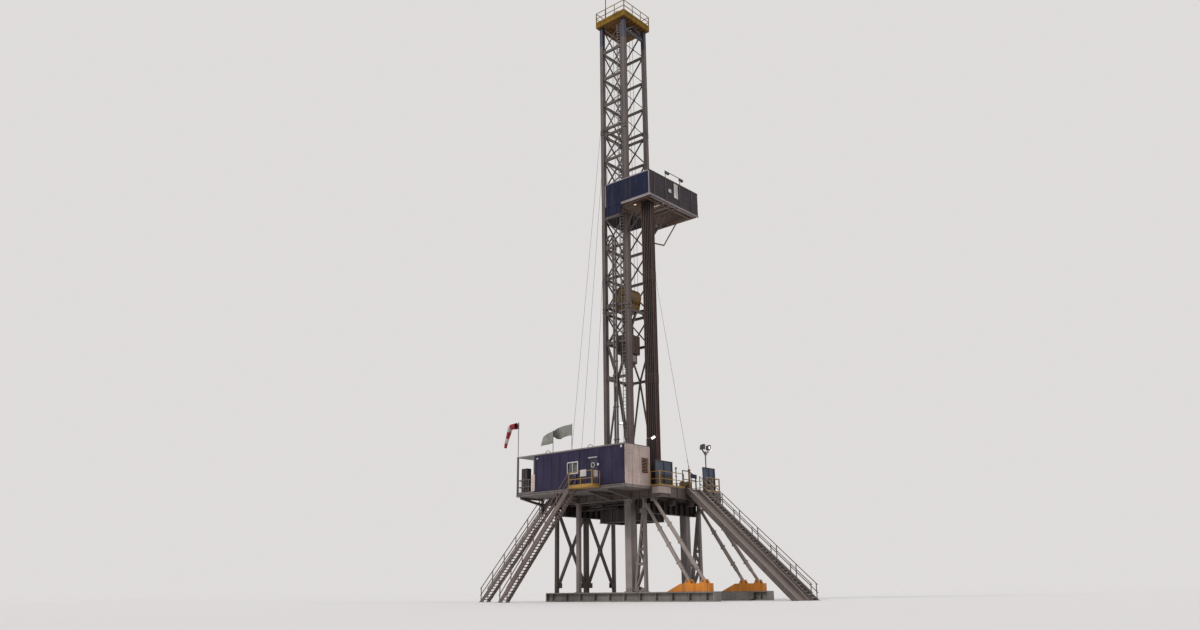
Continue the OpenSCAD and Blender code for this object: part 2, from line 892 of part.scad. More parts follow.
module mast_near_bracing() {
  color("gray") mast_side_xz(-hy, top_brace_w);
}

module mast_far_bracing() {
  color("gray") mast_side_xz(hy, brace_w);
}

module mast_back_bracing() {
  color("gray") union() {
    yz(-hx - girt_w / 2, girt_w) girt_drawing(in_y);
    yz(-hx - brace_w / 2, brace_w) brace_drawing(in_y, top_brace_w);
  }
}

module mast_portal() {
  knee_top = joint_1 - joint_gap / 2 - girt_w;
  head = crown_z - girt_w - portal_head_drop;
  color("gray") {
    yz(hx - girt_w / 2, girt_w) intersection() {
      union() {
        girt(in_y, knee_top);
        girt(in_y, head);
        for (s = [-1, 1]) {
          bar([s * in_y, knee_top - portal_knee], [s * (in_y - portal_knee / 2), knee_top + girt_w / 2], lower_brace_w);
          bar([s * in_y, head + girt_w / 2], [-s * 25, crown_z - brace_inset], brace_w);
        }
      }
      mast_side(in_y);
    }
  }
}

module mast_ladder() {
  t = rail_t;
  z0 = floor_z + dog_h + 300;
  h = crown_z - z0 - 200;
  color("gray") xz(-hy - girt_w / 2 - t, t) union() {
    for (x = [ladder_x, ladder_x + ladder_w - rail_t]) {
      translate([x, z0]) square([rail_t, h]);
    }
    for (i = [1:floor(h / rung_pitch) - 1]) {
      translate([ladder_x, z0 + i * rung_pitch]) square([ladder_w, 14]);
    }
  }
}

module standpipes() {
  y = -hy - girt_w / 2 - standpipe_d / 2 - eps;
  top = floor_z + standpipe_up;
  color("dimgray") for (x = standpipe_x) {
    union() {
      translate([x, y, floor_z]) cylinder(h = standpipe_up, d = standpipe_d, $fn = 24);
      if (x == standpipe_x[0]) {
        translate([x - bend_r, y, top]) rotate([90, 0, 0]) rotate_extrude(angle = 180, $fn = 48)
          translate([bend_r, 0]) circle(d = standpipe_d, $fn = 24);
        translate([x - 2 * bend_r, y, top - 60]) cylinder(h = 60, d = standpipe_d + 50, $fn = 24);
      }
    }
  }
}

/* Crown */

module crown_frame() {
  inset = 15;
  post = 60;
  low = crown_z + crown_flange;
  high = crown_z + crown_h - crown_flange;
  color("goldenrod") difference() {
    block(-crown_x, crown_x, -crown_y, crown_y, crown_z, crown_z + crown_h);
    block(-crown_slot, crown_slot, -crown_y + crown_side, crown_y - crown_side, crown_z - 1, crown_z + crown_h + 1);
    for (s = [-1, 1]) {
      block(-crown_x + post, crown_x - post, s > 0 ? crown_y - inset : -crown_y - 1,
        s > 0 ? crown_y + 1 : -crown_y + inset, low, high);
      block(s > 0 ? crown_x - inset : -crown_x - 1, s > 0 ? crown_x + 1 : -crown_x + inset,
        -crown_y + post, crown_y - post, low, high);
    }
  }
}

// A grooved wheel on the axle line at height z: hub, thin web and rim
module sheave(y, z) {
  t = sheave_t / 2;
  w = sheave_web / 2;
  translate([0, y, z]) rotate([90, 0, 0]) rotate_extrude($fn = 64) difference() {
    polygon([
      [axle_r, -t], [hub_r, -t], [hub_r, -w], [rim_r, -w], [rim_r, -t], [sheave_r, -t],
      [sheave_r, t], [rim_r, t], [rim_r, w], [hub_r, w], [hub_r, t], [axle_r, t]
    ]);
    translate([sheave_r, 0]) circle(r = groove_r, $fn = 32);
  }
}

module crown_sheaves() {
  low = crown_z + crown_h;
  color("gray") {
    for (y = sheave_y) sheave(y, crown_axle_z);
    union() {
      translate([0, 0, crown_axle_z]) rotate([90, 0, 0]) cylinder(h = axle_l + 60, r = axle_r - eps, center = true, $fn = 32);
      for (s = [-1, 1]) {
        y = s * (axle_l / 2 + 30);
        block(-crown_slot - 60, crown_slot + 60, y - 30, y + 30, low, crown_axle_z - 90);
        block(-110, 110, y - 30, y + 30, crown_axle_z - 90, crown_axle_z + 90);
      }
    }
  }
}

module crown_rails() {
  z = crown_z + crown_h;
  color("goldenrod") {
    for (y = [-crown_y, crown_y - rail_t]) {
      xz(y, rail_t) rail_drawing(-crown_x, crown_x, z, rail_h, 3);
    }
    for (x = [-crown_x, crown_x - rail_t]) {
      yz(x, rail_t) rail_drawing(-crown_y + rail_t, crown_y - rail_t, z, rail_h, 3);
    }
    translate([-crown_slot - 50, -crown_y + 200, z]) cylinder(h = crown_pole_h, d = 44, $fn = 12);
  }
}

/* Racking board */

board_t = 90;
board_x_in = hx + leg_w / 2 + eps;
board_y_in = hy + leg_w / 2 + eps;
finger_x0 = board_x_in + 220;
finger_n = floor((board_front - 150 - finger_x0) / pipe_pitch);
finger_y0 = 270;
finger_y1 = board_half - 150;

module board_deck() {
  color("sienna") difference() {
    block(board_back, board_front, -board_half, board_half, board_z - board_t, board_z);
    block(board_back - 1, board_x_in, -board_y_in, board_y_in, board_z - board_t - 1, board_z + 1);
    for (s = [-1, 1]) {
      block(finger_x0, finger_x0 + finger_n * pipe_pitch, min(s * finger_y0, s * finger_y1),
        max(s * finger_y0, s * finger_y1), board_z - board_t - 1, board_z + 1);
    }
  }
}

module board_fingers() {
  color("sienna") for (s = [-1, 1], i = [1:finger_n - 1]) {
    x = finger_x0 + i * pipe_pitch;
    block(x - 8, x + 8, s > 0 ? finger_y0 + 120 : -finger_y1, s > 0 ? finger_y1 : -finger_y0 - 120,
      board_z - 70, board_z - 10);
  }
}

module board_walls() {
  low = board_z - board_t;
  up = board_wall_h + board_t;
  grip = 30;
  color("midnightblue") {
    union() {
      for (y = [-board_half - panel_t, board_half]) {
        xz(y, panel_t) translate([board_back, low]) square([board_front - board_back, up]);
      }
      xz(-board_half - panel_t, panel_t) translate([board_back, low - board_wall_drop])
        square([drop_l, board_wall_drop]);
      yz(board_front, panel_t) translate([-board_half - panel_t, low]) square([2 * (board_half + panel_t), up]);
    }
    translate([0, 0, board_z - windbreak_drop]) linear_extrude(windbreak_drop + board_wall_h) union() {
      translate([-in_x, -in_y - grip]) square([panel_t, 2 * in_y + grip]);
      translate([-in_x - grip, in_y - panel_t]) square([2 * (in_x + grip), panel_t]);
    }
  }
}

module board_struts() {
  z = board_z - board_t;
  post_x = board_x_in + 300;
  color("dimgray") for (s = [-1, 1]) {
    xz(s * hy - board_strut_t / 2, board_strut_t) intersection() {
      union() {
        bar([board_x_in - 100, z - 1000], [board_x_in + 950, z + 60], board_strut_t);
        bar([post_x, z - 640], [post_x, z + 60], 40);
      }
      translate([board_x_in, z - 2000]) square([2000, 2000]);
    }
  }
}

board_strut_t = 60;
rack_nx = 6;
rack_ny = 3;
rack_x = finger_x0 + (finger_n - rack_nx / 2 - 1) * pipe_pitch;
rack_y = -1100;

module racked_pipe() {
  h = board_up + board_wall_h - 120;
  r = pipe_d / 2;
  j = tool_joint_d / 2;
  third = h / 3;
  color("saddlebrown") for (i = [0:rack_nx - 1], k = [0:rack_ny - 1]) {
    translate([rack_x + (i - (rack_nx - 1) / 2) * pipe_pitch, rack_y + (k - (rack_ny - 1) / 2) * pipe_pitch, floor_z])
      rotate_extrude($fn = 24) polygon([
        [0, 0], [j, 0], [j, 180], [r, 220],
        [r, third - 220], [j, third - 180], [j, third + 180], [r, third + 220],
        [r, 2 * third - 220], [j, 2 * third - 180], [j, 2 * third + 180], [r, 2 * third + 220],
        [r, h - 200], [j, h - 160], [j, h], [0, h]
      ]);
  }
}

/* Lines */

tail_d = 12;
tail_foot_y = [-1100, -450, 400];

module tail_lines() {
  top_x = -hx - girt_w / 2 - tail_d / 2 - eps;
  gap = tail_d / 2 + eps;
  post_x = winch_x + winch_r + 50;
  color("black") {
    for (y = tail_foot_y) {
      rod([top_x, y * 0.3, crown_z - top_panel], [-floor_back + 60, y, floor_z + 3], tail_d);
    }
    rod([hx + leg_w / 2 + gap, hy, board_z - board_t - 1200], [post_x, winch_y, floor_z + winch_post_h + gap],
      tail_d);
  }
}

module drilling_lines() {
  color("black") for (y = sheave_y, s = [-1, 1]) {
    translate([s * line_x, y, block_axle_z]) cylinder(h = crown_axle_z - block_axle_z, d = line_d, $fn = 8);
  }
}

/* Travelling gear */

// Drawing of a cheek of the block: a disc round the axle that tapers to the clevis
module cheek_drawing(z) {
  r = sheave_r + cheek_lip;
  translate([0, z]) circle(r = r, $fn = 64);
  polygon([[-r + 5, z - 60], [-block_foot_w / 2, z - block_drop], [block_foot_w / 2, z - block_drop], [r - 5, z - 60]]);
}

module travelling_block() {
  z = block_axle_z;
  low = z - block_drop;
  color("goldenrod") union() {
    for (y = cheek_y) {
      xz(y - cheek_t / 2, cheek_t) cheek_drawing(z);
    }
    xz(cheek_y[0], cheek_y[4] - cheek_y[0]) intersection() {
      cheek_drawing(z);
      translate([-1000, low]) square([2000, block_drop - sheave_r - 25]);
    }
    xz(cheek_y[0], cheek_y[4] - cheek_y[0]) intersection() {
      difference() {
        translate([0, z]) circle(r = sheave_r + cheek_lip, $fn = 64);
        translate([0, z]) circle(r = sheave_r + cheek_lip - 25, $fn = 64);
      }
      translate([-1000, z - 330]) square([2000, 480]);
    }
    for (y = sheave_y) sheave(y, z);
    translate([0, 0, z]) rotate([90, 0, 0]) cylinder(h = axle_l, r = axle_r, center = true, $fn = 32);
    for (s = [-1, 1]) {
      block(s * 95 - 15, s * 95 + 15, -90, 90, low - clevis_h, low);
    }
    translate([0, 0, low - clevis_h + 90]) rotate([0, 90, 0]) cylinder(h = 240, r = clevis_pin_r, center = true, $fn = 32);
  }
}

// A box with its upright edges cut off by c
module chamfered(x, y, z0, z1, c) {
  translate([0, 0, z0]) linear_extrude(z1 - z0) polygon([
    [-x, -y + c], [-x + c, -y], [x - c, -y], [x, -y + c], [x, y - c], [x - c, y], [-x + c, y], [-x, y - c]
  ]);
}

module top_drive() {
  z = block_axle_z - block_drop;
  bow_z = z - clevis_h + 90 + clevis_pin_r + eps + bail_d / 2 - bail_y;
  housing = z - 1100;
  head = housing - 1200;
  color("tan") union() {
    translate([0, 0, bow_z]) rotate([90, 0, 90]) rotate_extrude(angle = 180, $fn = 48)
      translate([bail_y, 0]) circle(d = bail_d, $fn = 24);
    for (s = [-1, 1]) {
      translate([0, s * bail_y, housing]) cylinder(h = bow_z - housing, d = bail_d, $fn = 24);
      block(-50, 50, s * bail_y - 60, s * bail_y + 60, housing, housing + 130);
      translate([0, s * 160, housing]) cylinder(h = 110, r = 90, $fn = 32);
    }
    chamfered(330, 420, housing - 800, housing, 60);
    chamfered(250, 300, head, housing - 800, 50);
    translate([0, 0, head - 160]) cylinder(h = 160, r = 200, $fn = 48);
    translate([0, 0, head - 260]) cylinder(h = 100, r = 110, $fn = 32);
    translate([0, 0, head - 400]) cylinder(h = 140, r = 70, $fn = 32);
    for (s = [-1, 1]) {
      block(-35, 35, s * 230 - 45, s * 230 + 45, head - 130, head - 40);
      rod([0, s * 230, head - 80], [0, s * 140, head - 900], 50, 12);
    }
    difference() {
      union() {
        translate([0, 0, head - 990]) cylinder(h = 120, r = 100, $fn = 32);
        block(-40, 40, -180, 180, head - 960, head - 880);
      }
      translate([0, 0, head - 1000]) cylinder(h = 200, r = pipe_d / 2 + 12, $fn = 32);
    }
  }
}

module drill_pipe() {
  top = block_axle_z - block_drop - 2700 - eps;
  foot = floor_z + pipe_clear;
  color("saddlebrown") translate([0, 0, foot]) cylinder(h = top - foot, d = pipe_d, $fn = 24);
}

/* Poles, flags and windsock */

sock_x = porch_x + 30;
sock_y = dog_y0 + 30;
sock_head_l = 430;
sock_reach = 820;
sock_tail_d = 120;
flag_poles = [[-750, dog_y0 + 700, 1180], [-1650, dog_y0 + 560, 1000]];
flag_sizes = [[1350, 460], [480, 600]];
flag_t = 8;
pole_d = 26;

module roof_poles() {
  color("dimgray") {
    translate([sock_x, sock_y, roof_z]) cylinder(h = sock_pole_h, d = 30, $fn = 16);
    for (p = flag_poles) {
      translate([p[0], p[1], roof_z]) cylinder(h = p[2], d = pole_d, $fn = 16);
    }
  }
}

module flags() {
  color("lightgray") for (i = [0, 1]) {
    p = flag_poles[i];
    w = flag_sizes[i][0];
    h = flag_sizes[i][1];
    translate([p[0] - pole_d / 2 - eps - w, p[1] - flag_t / 2, roof_z + p[2] - 20 - h]) cube([w, flag_t, h]);
  }
}

module windsock() {
  z = roof_z + sock_pole_h - 150;
  knee = [sock_x - sock_head_l, sock_y, z];
  tail = [sock_x - sock_reach, sock_y, z - sock_drop];
  v = tail - knee;
  color("crimson") difference() {
    union() {
      translate([sock_x, sock_y, z - 130]) cylinder(h = 260, r = 28, $fn = 24);
      translate([sock_x - 20, sock_y, z]) rotate([0, -90, 0]) cylinder(h = sock_head_l - 20, d1 = sock_d, d2 = sock_d * 0.9, $fn = 24);
      translate(knee) sphere(d = sock_d * 0.9, $fn = 24);
      translate(knee) rotate([0, acos(v[2] / norm(v)), 180]) cylinder(h = norm(v), d1 = sock_d * 0.88, d2 = sock_tail_d, $fn = 24);
    }
    translate([sock_x, sock_y, z - 500]) cylinder(h = 1200, r = 15 + eps, $fn = 24);
  }
}

base_beams();
base_spreaders();
strut_shoes();
front_columns();
middle_columns();
lattice_legs();
rear_frame();
front_struts();
floor_girders();
rotary_beams();
floor_deck();
rotary_table();
doghouse_floor();
doghouse_side_wall();
doghouse_inner_wall();
doghouse_end_walls();
doghouse_roof();
doghouse_doors();
doghouse_window();
doghouse_louvre();
doghouse_brackets();
porch_frame();
porch_rails();
door_landing();
landing_rails();
front_rails();
back_rails();
wind_walls();
light_mast();
side_stair_treads();
side_stair_sides();
back_stair_treads();
back_stair_sides();
pipe_ramp();
ramp_stair_treads();
ramp_stair_sides();
mast_legs();
mast_near_bracing();
mast_back_bracing();
mast_far_bracing();
mast_portal();
mast_ladder();
standpipes();
crown_frame();
crown_sheaves();
crown_rails();
board_deck();
board_fingers();
board_walls();
board_struts();
racked_pipe();
tail_lines();
drilling_lines();
travelling_block();
top_drive();
drill_pipe();
roof_poles();
flags();
windsock();
line_winch();
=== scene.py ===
from math import cos, pi, radians, sin

import bmesh
import bpy
from mathutils import Matrix, Vector


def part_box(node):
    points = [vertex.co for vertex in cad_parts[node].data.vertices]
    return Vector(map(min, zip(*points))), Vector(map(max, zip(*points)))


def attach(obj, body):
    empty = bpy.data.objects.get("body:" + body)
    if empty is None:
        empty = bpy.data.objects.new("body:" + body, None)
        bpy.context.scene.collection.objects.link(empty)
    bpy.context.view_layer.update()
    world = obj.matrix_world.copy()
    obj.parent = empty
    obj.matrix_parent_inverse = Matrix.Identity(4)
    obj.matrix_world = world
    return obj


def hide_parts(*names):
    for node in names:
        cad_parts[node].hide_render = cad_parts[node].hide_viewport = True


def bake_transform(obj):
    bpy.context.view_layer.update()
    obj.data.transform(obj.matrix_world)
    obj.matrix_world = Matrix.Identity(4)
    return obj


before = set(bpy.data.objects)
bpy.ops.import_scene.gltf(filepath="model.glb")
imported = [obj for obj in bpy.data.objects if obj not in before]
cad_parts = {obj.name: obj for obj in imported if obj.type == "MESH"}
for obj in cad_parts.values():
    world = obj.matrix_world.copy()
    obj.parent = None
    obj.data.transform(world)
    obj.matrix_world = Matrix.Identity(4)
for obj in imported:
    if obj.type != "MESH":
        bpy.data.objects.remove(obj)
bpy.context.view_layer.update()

# Camera
# Stands on the ground at the photograph's place, 38 m off the well, and looks up at the mast.
# Place, turn, rise, lean and lens come from the rig's own corners in the photograph.
EYE = Vector((24.166, -29.875, 0.334))
TURN, RISE, LEAN = radians(40.777), radians(16.663), radians(-0.568)
LENS = 27.83

ahead_flat = Vector((-sin(TURN), cos(TURN), 0))
level_right = Vector((cos(TURN), sin(TURN), 0))
ahead = ahead_flat * cos(RISE) + Vector((0, 0, sin(RISE)))
level_up = Vector((0, 0, cos(RISE))) - ahead_flat * sin(RISE)
right = level_right * cos(LEAN) + level_up * sin(LEAN)
up = level_up * cos(LEAN) - level_right * sin(LEAN)
camera = bpy.data.objects.new("camera", bpy.data.cameras.new("camera"))
bpy.context.scene.collection.objects.link(camera)
camera.matrix_world = Matrix.Translation(EYE) @ Matrix((right, up, -ahead)).transposed().to_4x4()
camera.data.lens = LENS
camera.data.sensor_width = 36
camera.data.clip_end = 1000
bpy.context.scene.camera = camera

# Studio
# A pale floor without an edge in view, a pale grey surround, and soft light from the front left.
# A weaker lamp shines from the right, where the evening sky is brighter in the photograph, and a
# faint one from behind.
bpy.context.scene.view_settings.view_transform = "Standard"
BACKDROP = (0.735, 0.715, 0.705, 1)
SKY_LIGHT = (0.86, 0.88, 0.95, 1)


def node(tree, kind, inputs=None, **settings):
    """A shader node with its settings, and its inputs linked or set"""
    made = tree.nodes.new("ShaderNode" + kind)
    for key, value in settings.items():
        setattr(made, key, value)
    for key, value in (inputs or {}).items():
        if isinstance(value, bpy.types.NodeSocket):
            tree.links.new(value, made.inputs[key])
        else:
            made.inputs[key].default_value = value
    return made


world = bpy.data.worlds.new("surround")
world.use_nodes = True
sky = world.node_tree
sky.nodes.clear()
ray = node(sky, "LightPath").outputs
direct = node(sky, "Math", {0: ray["Is Camera Ray"], 1: ray["Is Glossy Ray"]}, operation="MAXIMUM")
seen = node(sky, "Math", {0: direct.outputs[0], 1: ray["Is Transmission Ray"]}, operation="MAXIMUM")
lit = node(sky, "Background", {"Color": SKY_LIGHT, "Strength": 0.45})
shown = node(sky, "Background", {"Color": BACKDROP, "Strength": 1})
both = node(sky, "MixShader", {0: seen.outputs[0], 1: lit.outputs[0], 2: shown.outputs[0]})
node(sky, "OutputWorld", {"Surface": both.outputs[0]})
bpy.context.scene.world = world


def sun(name, azimuth, elevation, strength, softness, colour):
    """A soft lamp that shines from an azimuth, 0 being the -Y side, and an elevation"""
    data = bpy.data.lights.new(name, "SUN")
    data.energy = strength
    data.angle = radians(softness)
    data.color = colour
    lamp = bpy.data.objects.new(name, data)
    a, e = radians(azimuth), radians(elevation)
    towards = Vector((sin(a) * cos(e), -cos(a) * cos(e), sin(e)))
    lamp.rotation_euler = towards.to_track_quat("Z", "Y").to_euler()
    bpy.context.scene.collection.objects.link(lamp)


sun("key_light", -12, 42, 1.7, 25, (1, 0.97, 0.93))
sun("side_light", 95, 30, 0.8, 35, (1, 0.94, 0.88))
sun("back_light", 215, 35, 0.5, 40, (0.93, 0.95, 1))

FLOOR_REACH, FLOOR_DROP = 400, 0.002
floor_mesh = bpy.data.meshes.new("studio_floor")
square = [(x, y, -FLOOR_DROP) for x, y in ((-1, -1), (1, -1), (1, 1), (-1, 1))]
floor_mesh.from_pydata(square, [], [(0, 1, 2, 3)])
floor_mesh.transform(Matrix.Diagonal((FLOOR_REACH, FLOOR_REACH, 1, 1)))
studio_floor = bpy.data.objects.new("studio_floor", floor_mesh)
bpy.context.scene.collection.objects.link(studio_floor)
floor_look = bpy.data.materials.new("studio_floor")
floor_look.use_nodes = True
floor_shader = floor_look.node_tree.nodes["Principled BSDF"]
floor_shader.inputs["Base Color"].default_value = (0.72, 0.70, 0.69, 1)
floor_shader.inputs["Roughness"].default_value = 0.95
floor_mesh.materials.append(floor_look)

# Base beams and spreaders
# Two long plated beams lie on the ground and are tied by cross beams. Welded steel, grey paint worn
# and streaked by the weather, with stiffeners welded into the open sides of the beams.
RUST = (0.16, 0.075, 0.045, 1)
GRIME = (0.075, 0.062, 0.055, 1)
DUST = (0.36, 0.32, 0.28, 1)


def shader_group(name, inputs, outputs):
    """An empty node group with its sockets, given as name to first value and name to kind"""
    tree = bpy.data.node_groups.new(name, "ShaderNodeTree")
    for title, value in inputs.items():
        kind = "NodeSocketFloat" if isinstance(value, (int, float)) else "NodeSocketColor"
        tree.interface.new_socket(name=title, in_out="INPUT", socket_type=kind).default_value = value
    for title, kind in outputs.items():
        tree.interface.new_socket(name=title, in_out="OUTPUT", socket_type=kind)
    return tree, tree.nodes.new("NodeGroupInput").outputs, tree.nodes.new("NodeGroupOutput")


def ramped(tree, value, low, high, to_low=0.0, to_high=1.0):
    """A value's stretch from low to high, spread smoothly over another stretch"""
    return node(tree, "MapRange", {0: value, 1: low, 2: high, 3: to_low, 4: to_high},
                interpolation_type="SMOOTHSTEP").outputs[0]


def times(tree, a, b):
    """One value times another"""
    return node(tree, "Math", {0: a, 1: b}, operation="MULTIPLY").outputs[0]


def mixed(tree, factor, a, b, blend="MIX"):
    """Two colours mixed by a factor"""
    return node(tree, "Mix", {0: factor, 6: a, 7: b}, data_type="RGBA", blend_type=blend).outputs[2]


def cloudy(tree, place, scale, detail=3.0, roughness=0.5):
    """Soft patches of a scale and fineness"""
    given = {"Vector": place, "Scale": scale, "Detail": detail, "Roughness": roughness}
    return node(tree, "TexNoise", given).outputs[0]


def make_weathering():
    """Old paint: blotches, runs down the sides, chips, and dust on what faces up"""
    tree, given, result = shader_group(
        "weathering",
        {"Paint": (0.5, 0.5, 0.5, 1), "Under": RUST, "Run": GRIME, "Dust": DUST, "Fineness": 1.0,
         "Chips": 0.3, "Runs": 0.5, "Dusting": 0.5},
        {"Color": "NodeSocketColor", "Roughness": "NodeSocketFloat", "Height": "NodeSocketFloat"})
    place = node(tree, "TexCoord").outputs["Object"]
    long_place = node(tree, "VectorMath", {0: place, 1: (1, 1, 0.1)}, operation="MULTIPLY").outputs[0]
    fine = given["Fineness"]
    blotch = cloudy(tree, place, times(tree, fine, 1.1), 4)
    run = cloudy(tree, long_place, times(tree, fine, 7), 3, 0.6)
    speck = cloudy(tree, place, times(tree, fine, 11), 7, 0.72)
    edge = node(tree, "Math", {0: given["Chips"], 1: -0.24, 2: 0.74}, operation="MULTIPLY_ADD").outputs[0]
    past = node(tree, "Math", {0: speck, 1: edge}, operation="SUBTRACT").outputs[0]
    chip = ramped(tree, past, 0, 0.03)
    run_mask = times(tree, ramped(tree, run, 0.47, 0.72), given["Runs"])
    facing = node(tree, "SeparateXYZ", {0: node(tree, "NewGeometry").outputs["Normal"]}).outputs[2]
    up_mask = times(tree, ramped(tree, facing, 0.35, 0.95), given["Dusting"])
    shade = ramped(tree, blotch, 0.3, 0.7, 0.74, 1.16)
    shaded = mixed(tree, 1.0, given["Paint"], shade, "MULTIPLY")
    streaked = mixed(tree, run_mask, shaded, given["Run"])
    chipped = mixed(tree, chip, streaked, given["Under"])
    dusted = mixed(tree, up_mask, chipped, given["Dust"])
    rough = node(tree, "Math", {0: chip, 1: 0.3, 2: ramped(tree, blotch, 0.3, 0.7, 0.42, 0.62)},
                 operation="MULTIPLY_ADD").outputs[0]
    tree.links.new(dusted, result.inputs["Color"])
    tree.links.new(rough, result.inputs["Roughness"])
    high = node(tree, "Math", {0: chip, 1: -0.6, 2: times(tree, speck, 0.5)}, operation="MULTIPLY_ADD")
    tree.links.new(high.outputs[0], result.inputs["Height"])
    return tree


weathering = make_weathering()


def surface(name, metallic=0.0):
    """A new material: its node tree and its Principled shader"""
    made = bpy.data.materials.new(name)
    made.use_nodes = True
    shader = made.node_tree.nodes["Principled BSDF"]
    shader.inputs["Metallic"].default_value = metallic
    return made, made.node_tree, shader


def old_paint(name, paint, chips=0.3, runs=0.5, dusting=0.5, fineness=1.0, gloss=0.5):
    """Painted steel that has stood outdoors for years"""
    made, tree, shader = surface(name)
    shader.inputs["Specular IOR Level"].default_value = gloss
    look = tree.nodes.new("ShaderNodeGroup")
    look.node_tree = weathering
    for key, value in {"Paint": (*paint, 1), "Under": RUST, "Run": GRIME, "Dust": DUST, "Fineness": fineness,
                       "Chips": chips, "Runs": runs, "Dusting": dusting}.items():
        look.inputs[key].default_value = value
    tree.links.new(look.outputs["Color"], shader.inputs["Base Color"])
    tree.links.new(look.outputs["Roughness"], shader.inputs["Roughness"])
    grain = node(tree, "Bump", {"Height": look.outputs["Height"], "Strength": 0.25, "Distance": 0.01})
    tree.links.new(grain.outputs[0], shader.inputs["Normal"])
    return made


def dress(material, *names):
    """Gives CAD nodes their material"""
    for name in names:
        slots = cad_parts[name].data.materials
        slots.clear()
        slots.append(material)


def add_box(bm, corner, opposite):
    """A box between two opposite corners"""
    xs, ys, zs = (sorted(ends) for ends in zip(corner, opposite))
    corners = [bm.verts.new((x, y, z)) for z in zs for y in ys for x in xs]
    for face in ((0, 2, 3, 1), (4, 5, 7, 6), (0, 1, 5, 4), (2, 6, 7, 3), (0, 4, 6, 2), (1, 3, 7, 5)):
        bm.faces.new([corners[i] for i in face])


def add_bar(bm, start, end, width, height=None, over=(0, 0, 1)):
    """A bar of a rectangular section between two points"""
    start, end = Vector(start), Vector(end)
    along = (end - start).normalized()
    side = along.cross(Vector(over))
    if side.length < 0.001:
        side = along.cross(Vector((1, 0, 0)))
    side.normalize()
    rise = side.cross(along)
    w, h = width / 2, (height or width) / 2
    corners = ((-1, -1), (1, -1), (1, 1), (-1, 1))
    rings = [[bm.verts.new(point + side * s * w + rise * t * h) for s, t in corners]
             for point in (start, end)]
    bm.faces.new(rings[0])
    bm.faces.new(rings[1][::-1])
    for i in range(4):
        j = (i + 1) % 4
        bm.faces.new((rings[0][i], rings[1][i], rings[1][j], rings[0][j]))


def add_tube(bm, points, radius, sides=10, closed=False):
    """A round tube along points, with flat ends"""
    points = [Vector(p) for p in points]
    count = len(points)
    along = [(points[(i + 1) % count if closed else min(i + 1, count - 1)]
              - points[i - 1 if closed else max(i - 1, 0)]).normalized() for i in range(count)]
    side = along[0].orthogonal().normalized()
    turns = [2 * pi * k / sides for k in range(sides)]
    rings = []
    for point, way in zip(points, along):
        side = (side - way * side.dot(way)).normalized()
        rise = way.cross(side)
        rings.append([bm.verts.new(point + (side * cos(a) + rise * sin(a)) * radius) for a in turns])
    for i in range(count if closed else count - 1):
        first, second = rings[i], rings[(i + 1) % count]
        for k in range(sides):
            m = (k + 1) % sides
            bm.faces.new((first[k], first[m], second[m], second[k]))
    if not closed:
        bm.faces.new(rings[0][::-1])
        bm.faces.new(rings[-1])


def piece(name, bm, material, body="root", bevel=0.0, smooth=False):
    """A finished piece from a bmesh, on its body"""
    bmesh.ops.recalc_face_normals(bm, faces=bm.faces)
    mesh = bpy.data.meshes.new(name)
    bm.to_mesh(mesh)
    bm.free()
    mesh.materials.append(material)
    if smooth:
        mesh.shade_smooth()
        mesh.set_sharp_from_angle(angle=radians(40))
    made = bpy.data.objects.new(name, mesh)
    bpy.context.scene.collection.objects.link(made)
    if bevel:
        rounding = made.modifiers.new("rounding", "BEVEL")
        rounding.width = bevel
        rounding.segments = 1
        rounding.limit_method = "ANGLE"
    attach(made, body)
    return made


beam_grey = old_paint("beam_grey", (0.19, 0.175, 0.16), chips=0.5, runs=0.6, dusting=0.75)
dress(beam_grey, "base_beams", "base_spreaders")

BEAM_LOW, BEAM_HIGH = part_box("base_beams")
BEAM_WIDTH = 0.42
STIFFENERS, END_GAP = 11, 0.35
stiffeners = bmesh.new()
for side in (-1, 1):
    middle = side * (BEAM_HIGH.y - BEAM_WIDTH / 2)
    for i in range(STIFFENERS):
        x = BEAM_LOW.x + END_GAP + i * (BEAM_HIGH.x - BEAM_LOW.x - 2 * END_GAP) / (STIFFENERS - 1)
        for s in (-1, 1):
            add_box(stiffeners, (x - 0.008, middle + s * 0.09, 0.04), (x + 0.008, middle + s * 0.205, 0.30))
piece("base_stiffeners", stiffeners, beam_grey)

# Columns, lattice legs and rear frame
# Rolled columns and lattice legs carry the floor, bolted to the beams. Grey paint, the thick front
# columns lighter than the rest; the rear frame stands in shade, and its near-black paint and plates
# are painted shade.
FRAME_Y = 1.775
COLUMN_X, MIDDLE_X, LATTICE_X, REAR_X = 1.35, -1.3, 2.06, -2.49
FLANGE = 0.17
LATTICE_PLATES = ((-0.38, 0.09, 0.20), (-0.08, 0.08, 0.16), (-0.34, 1.00, 0.13), (-0.06, 1.00, 0.15),
                  (-0.05, 1.55, 0.12), (-0.18, 1.52, 0.10), (-0.04, 2.25, 0.11), (-0.10, 2.95, 0.16))
BEAM_TOP = BEAM_HIGH.z
GIRDER_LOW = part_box("floor_girders")[0].z


def add_bolts(bm, places, facing, radius=0.011, height=0.012):
    """Hexagon heads that stand out along facing"""
    for place in places:
        add_tube(bm, (place, Vector(place) + Vector(facing) * height), radius, 6)


column_grey = old_paint("column_grey", (0.235, 0.203, 0.19), chips=0.25, runs=0.45, dusting=0.4)
# The rear frame's near-black paint is painted shade.
frame_shaded = old_paint("frame_shaded", (0.042, 0.026, 0.021), chips=0.4, runs=0.7, dusting=0.3)
lattice_grey = old_paint("lattice_grey", (0.19, 0.16, 0.15), chips=0.35, runs=0.55, dusting=0.4)
bolt_steel = old_paint("bolt_steel", (0.15, 0.13, 0.12), chips=0.5, runs=0.2, dusting=0.2)
dress(column_grey, "front_columns")
dress(lattice_grey, "lattice_legs", "middle_columns")
dress(frame_shaded, "rear_frame")

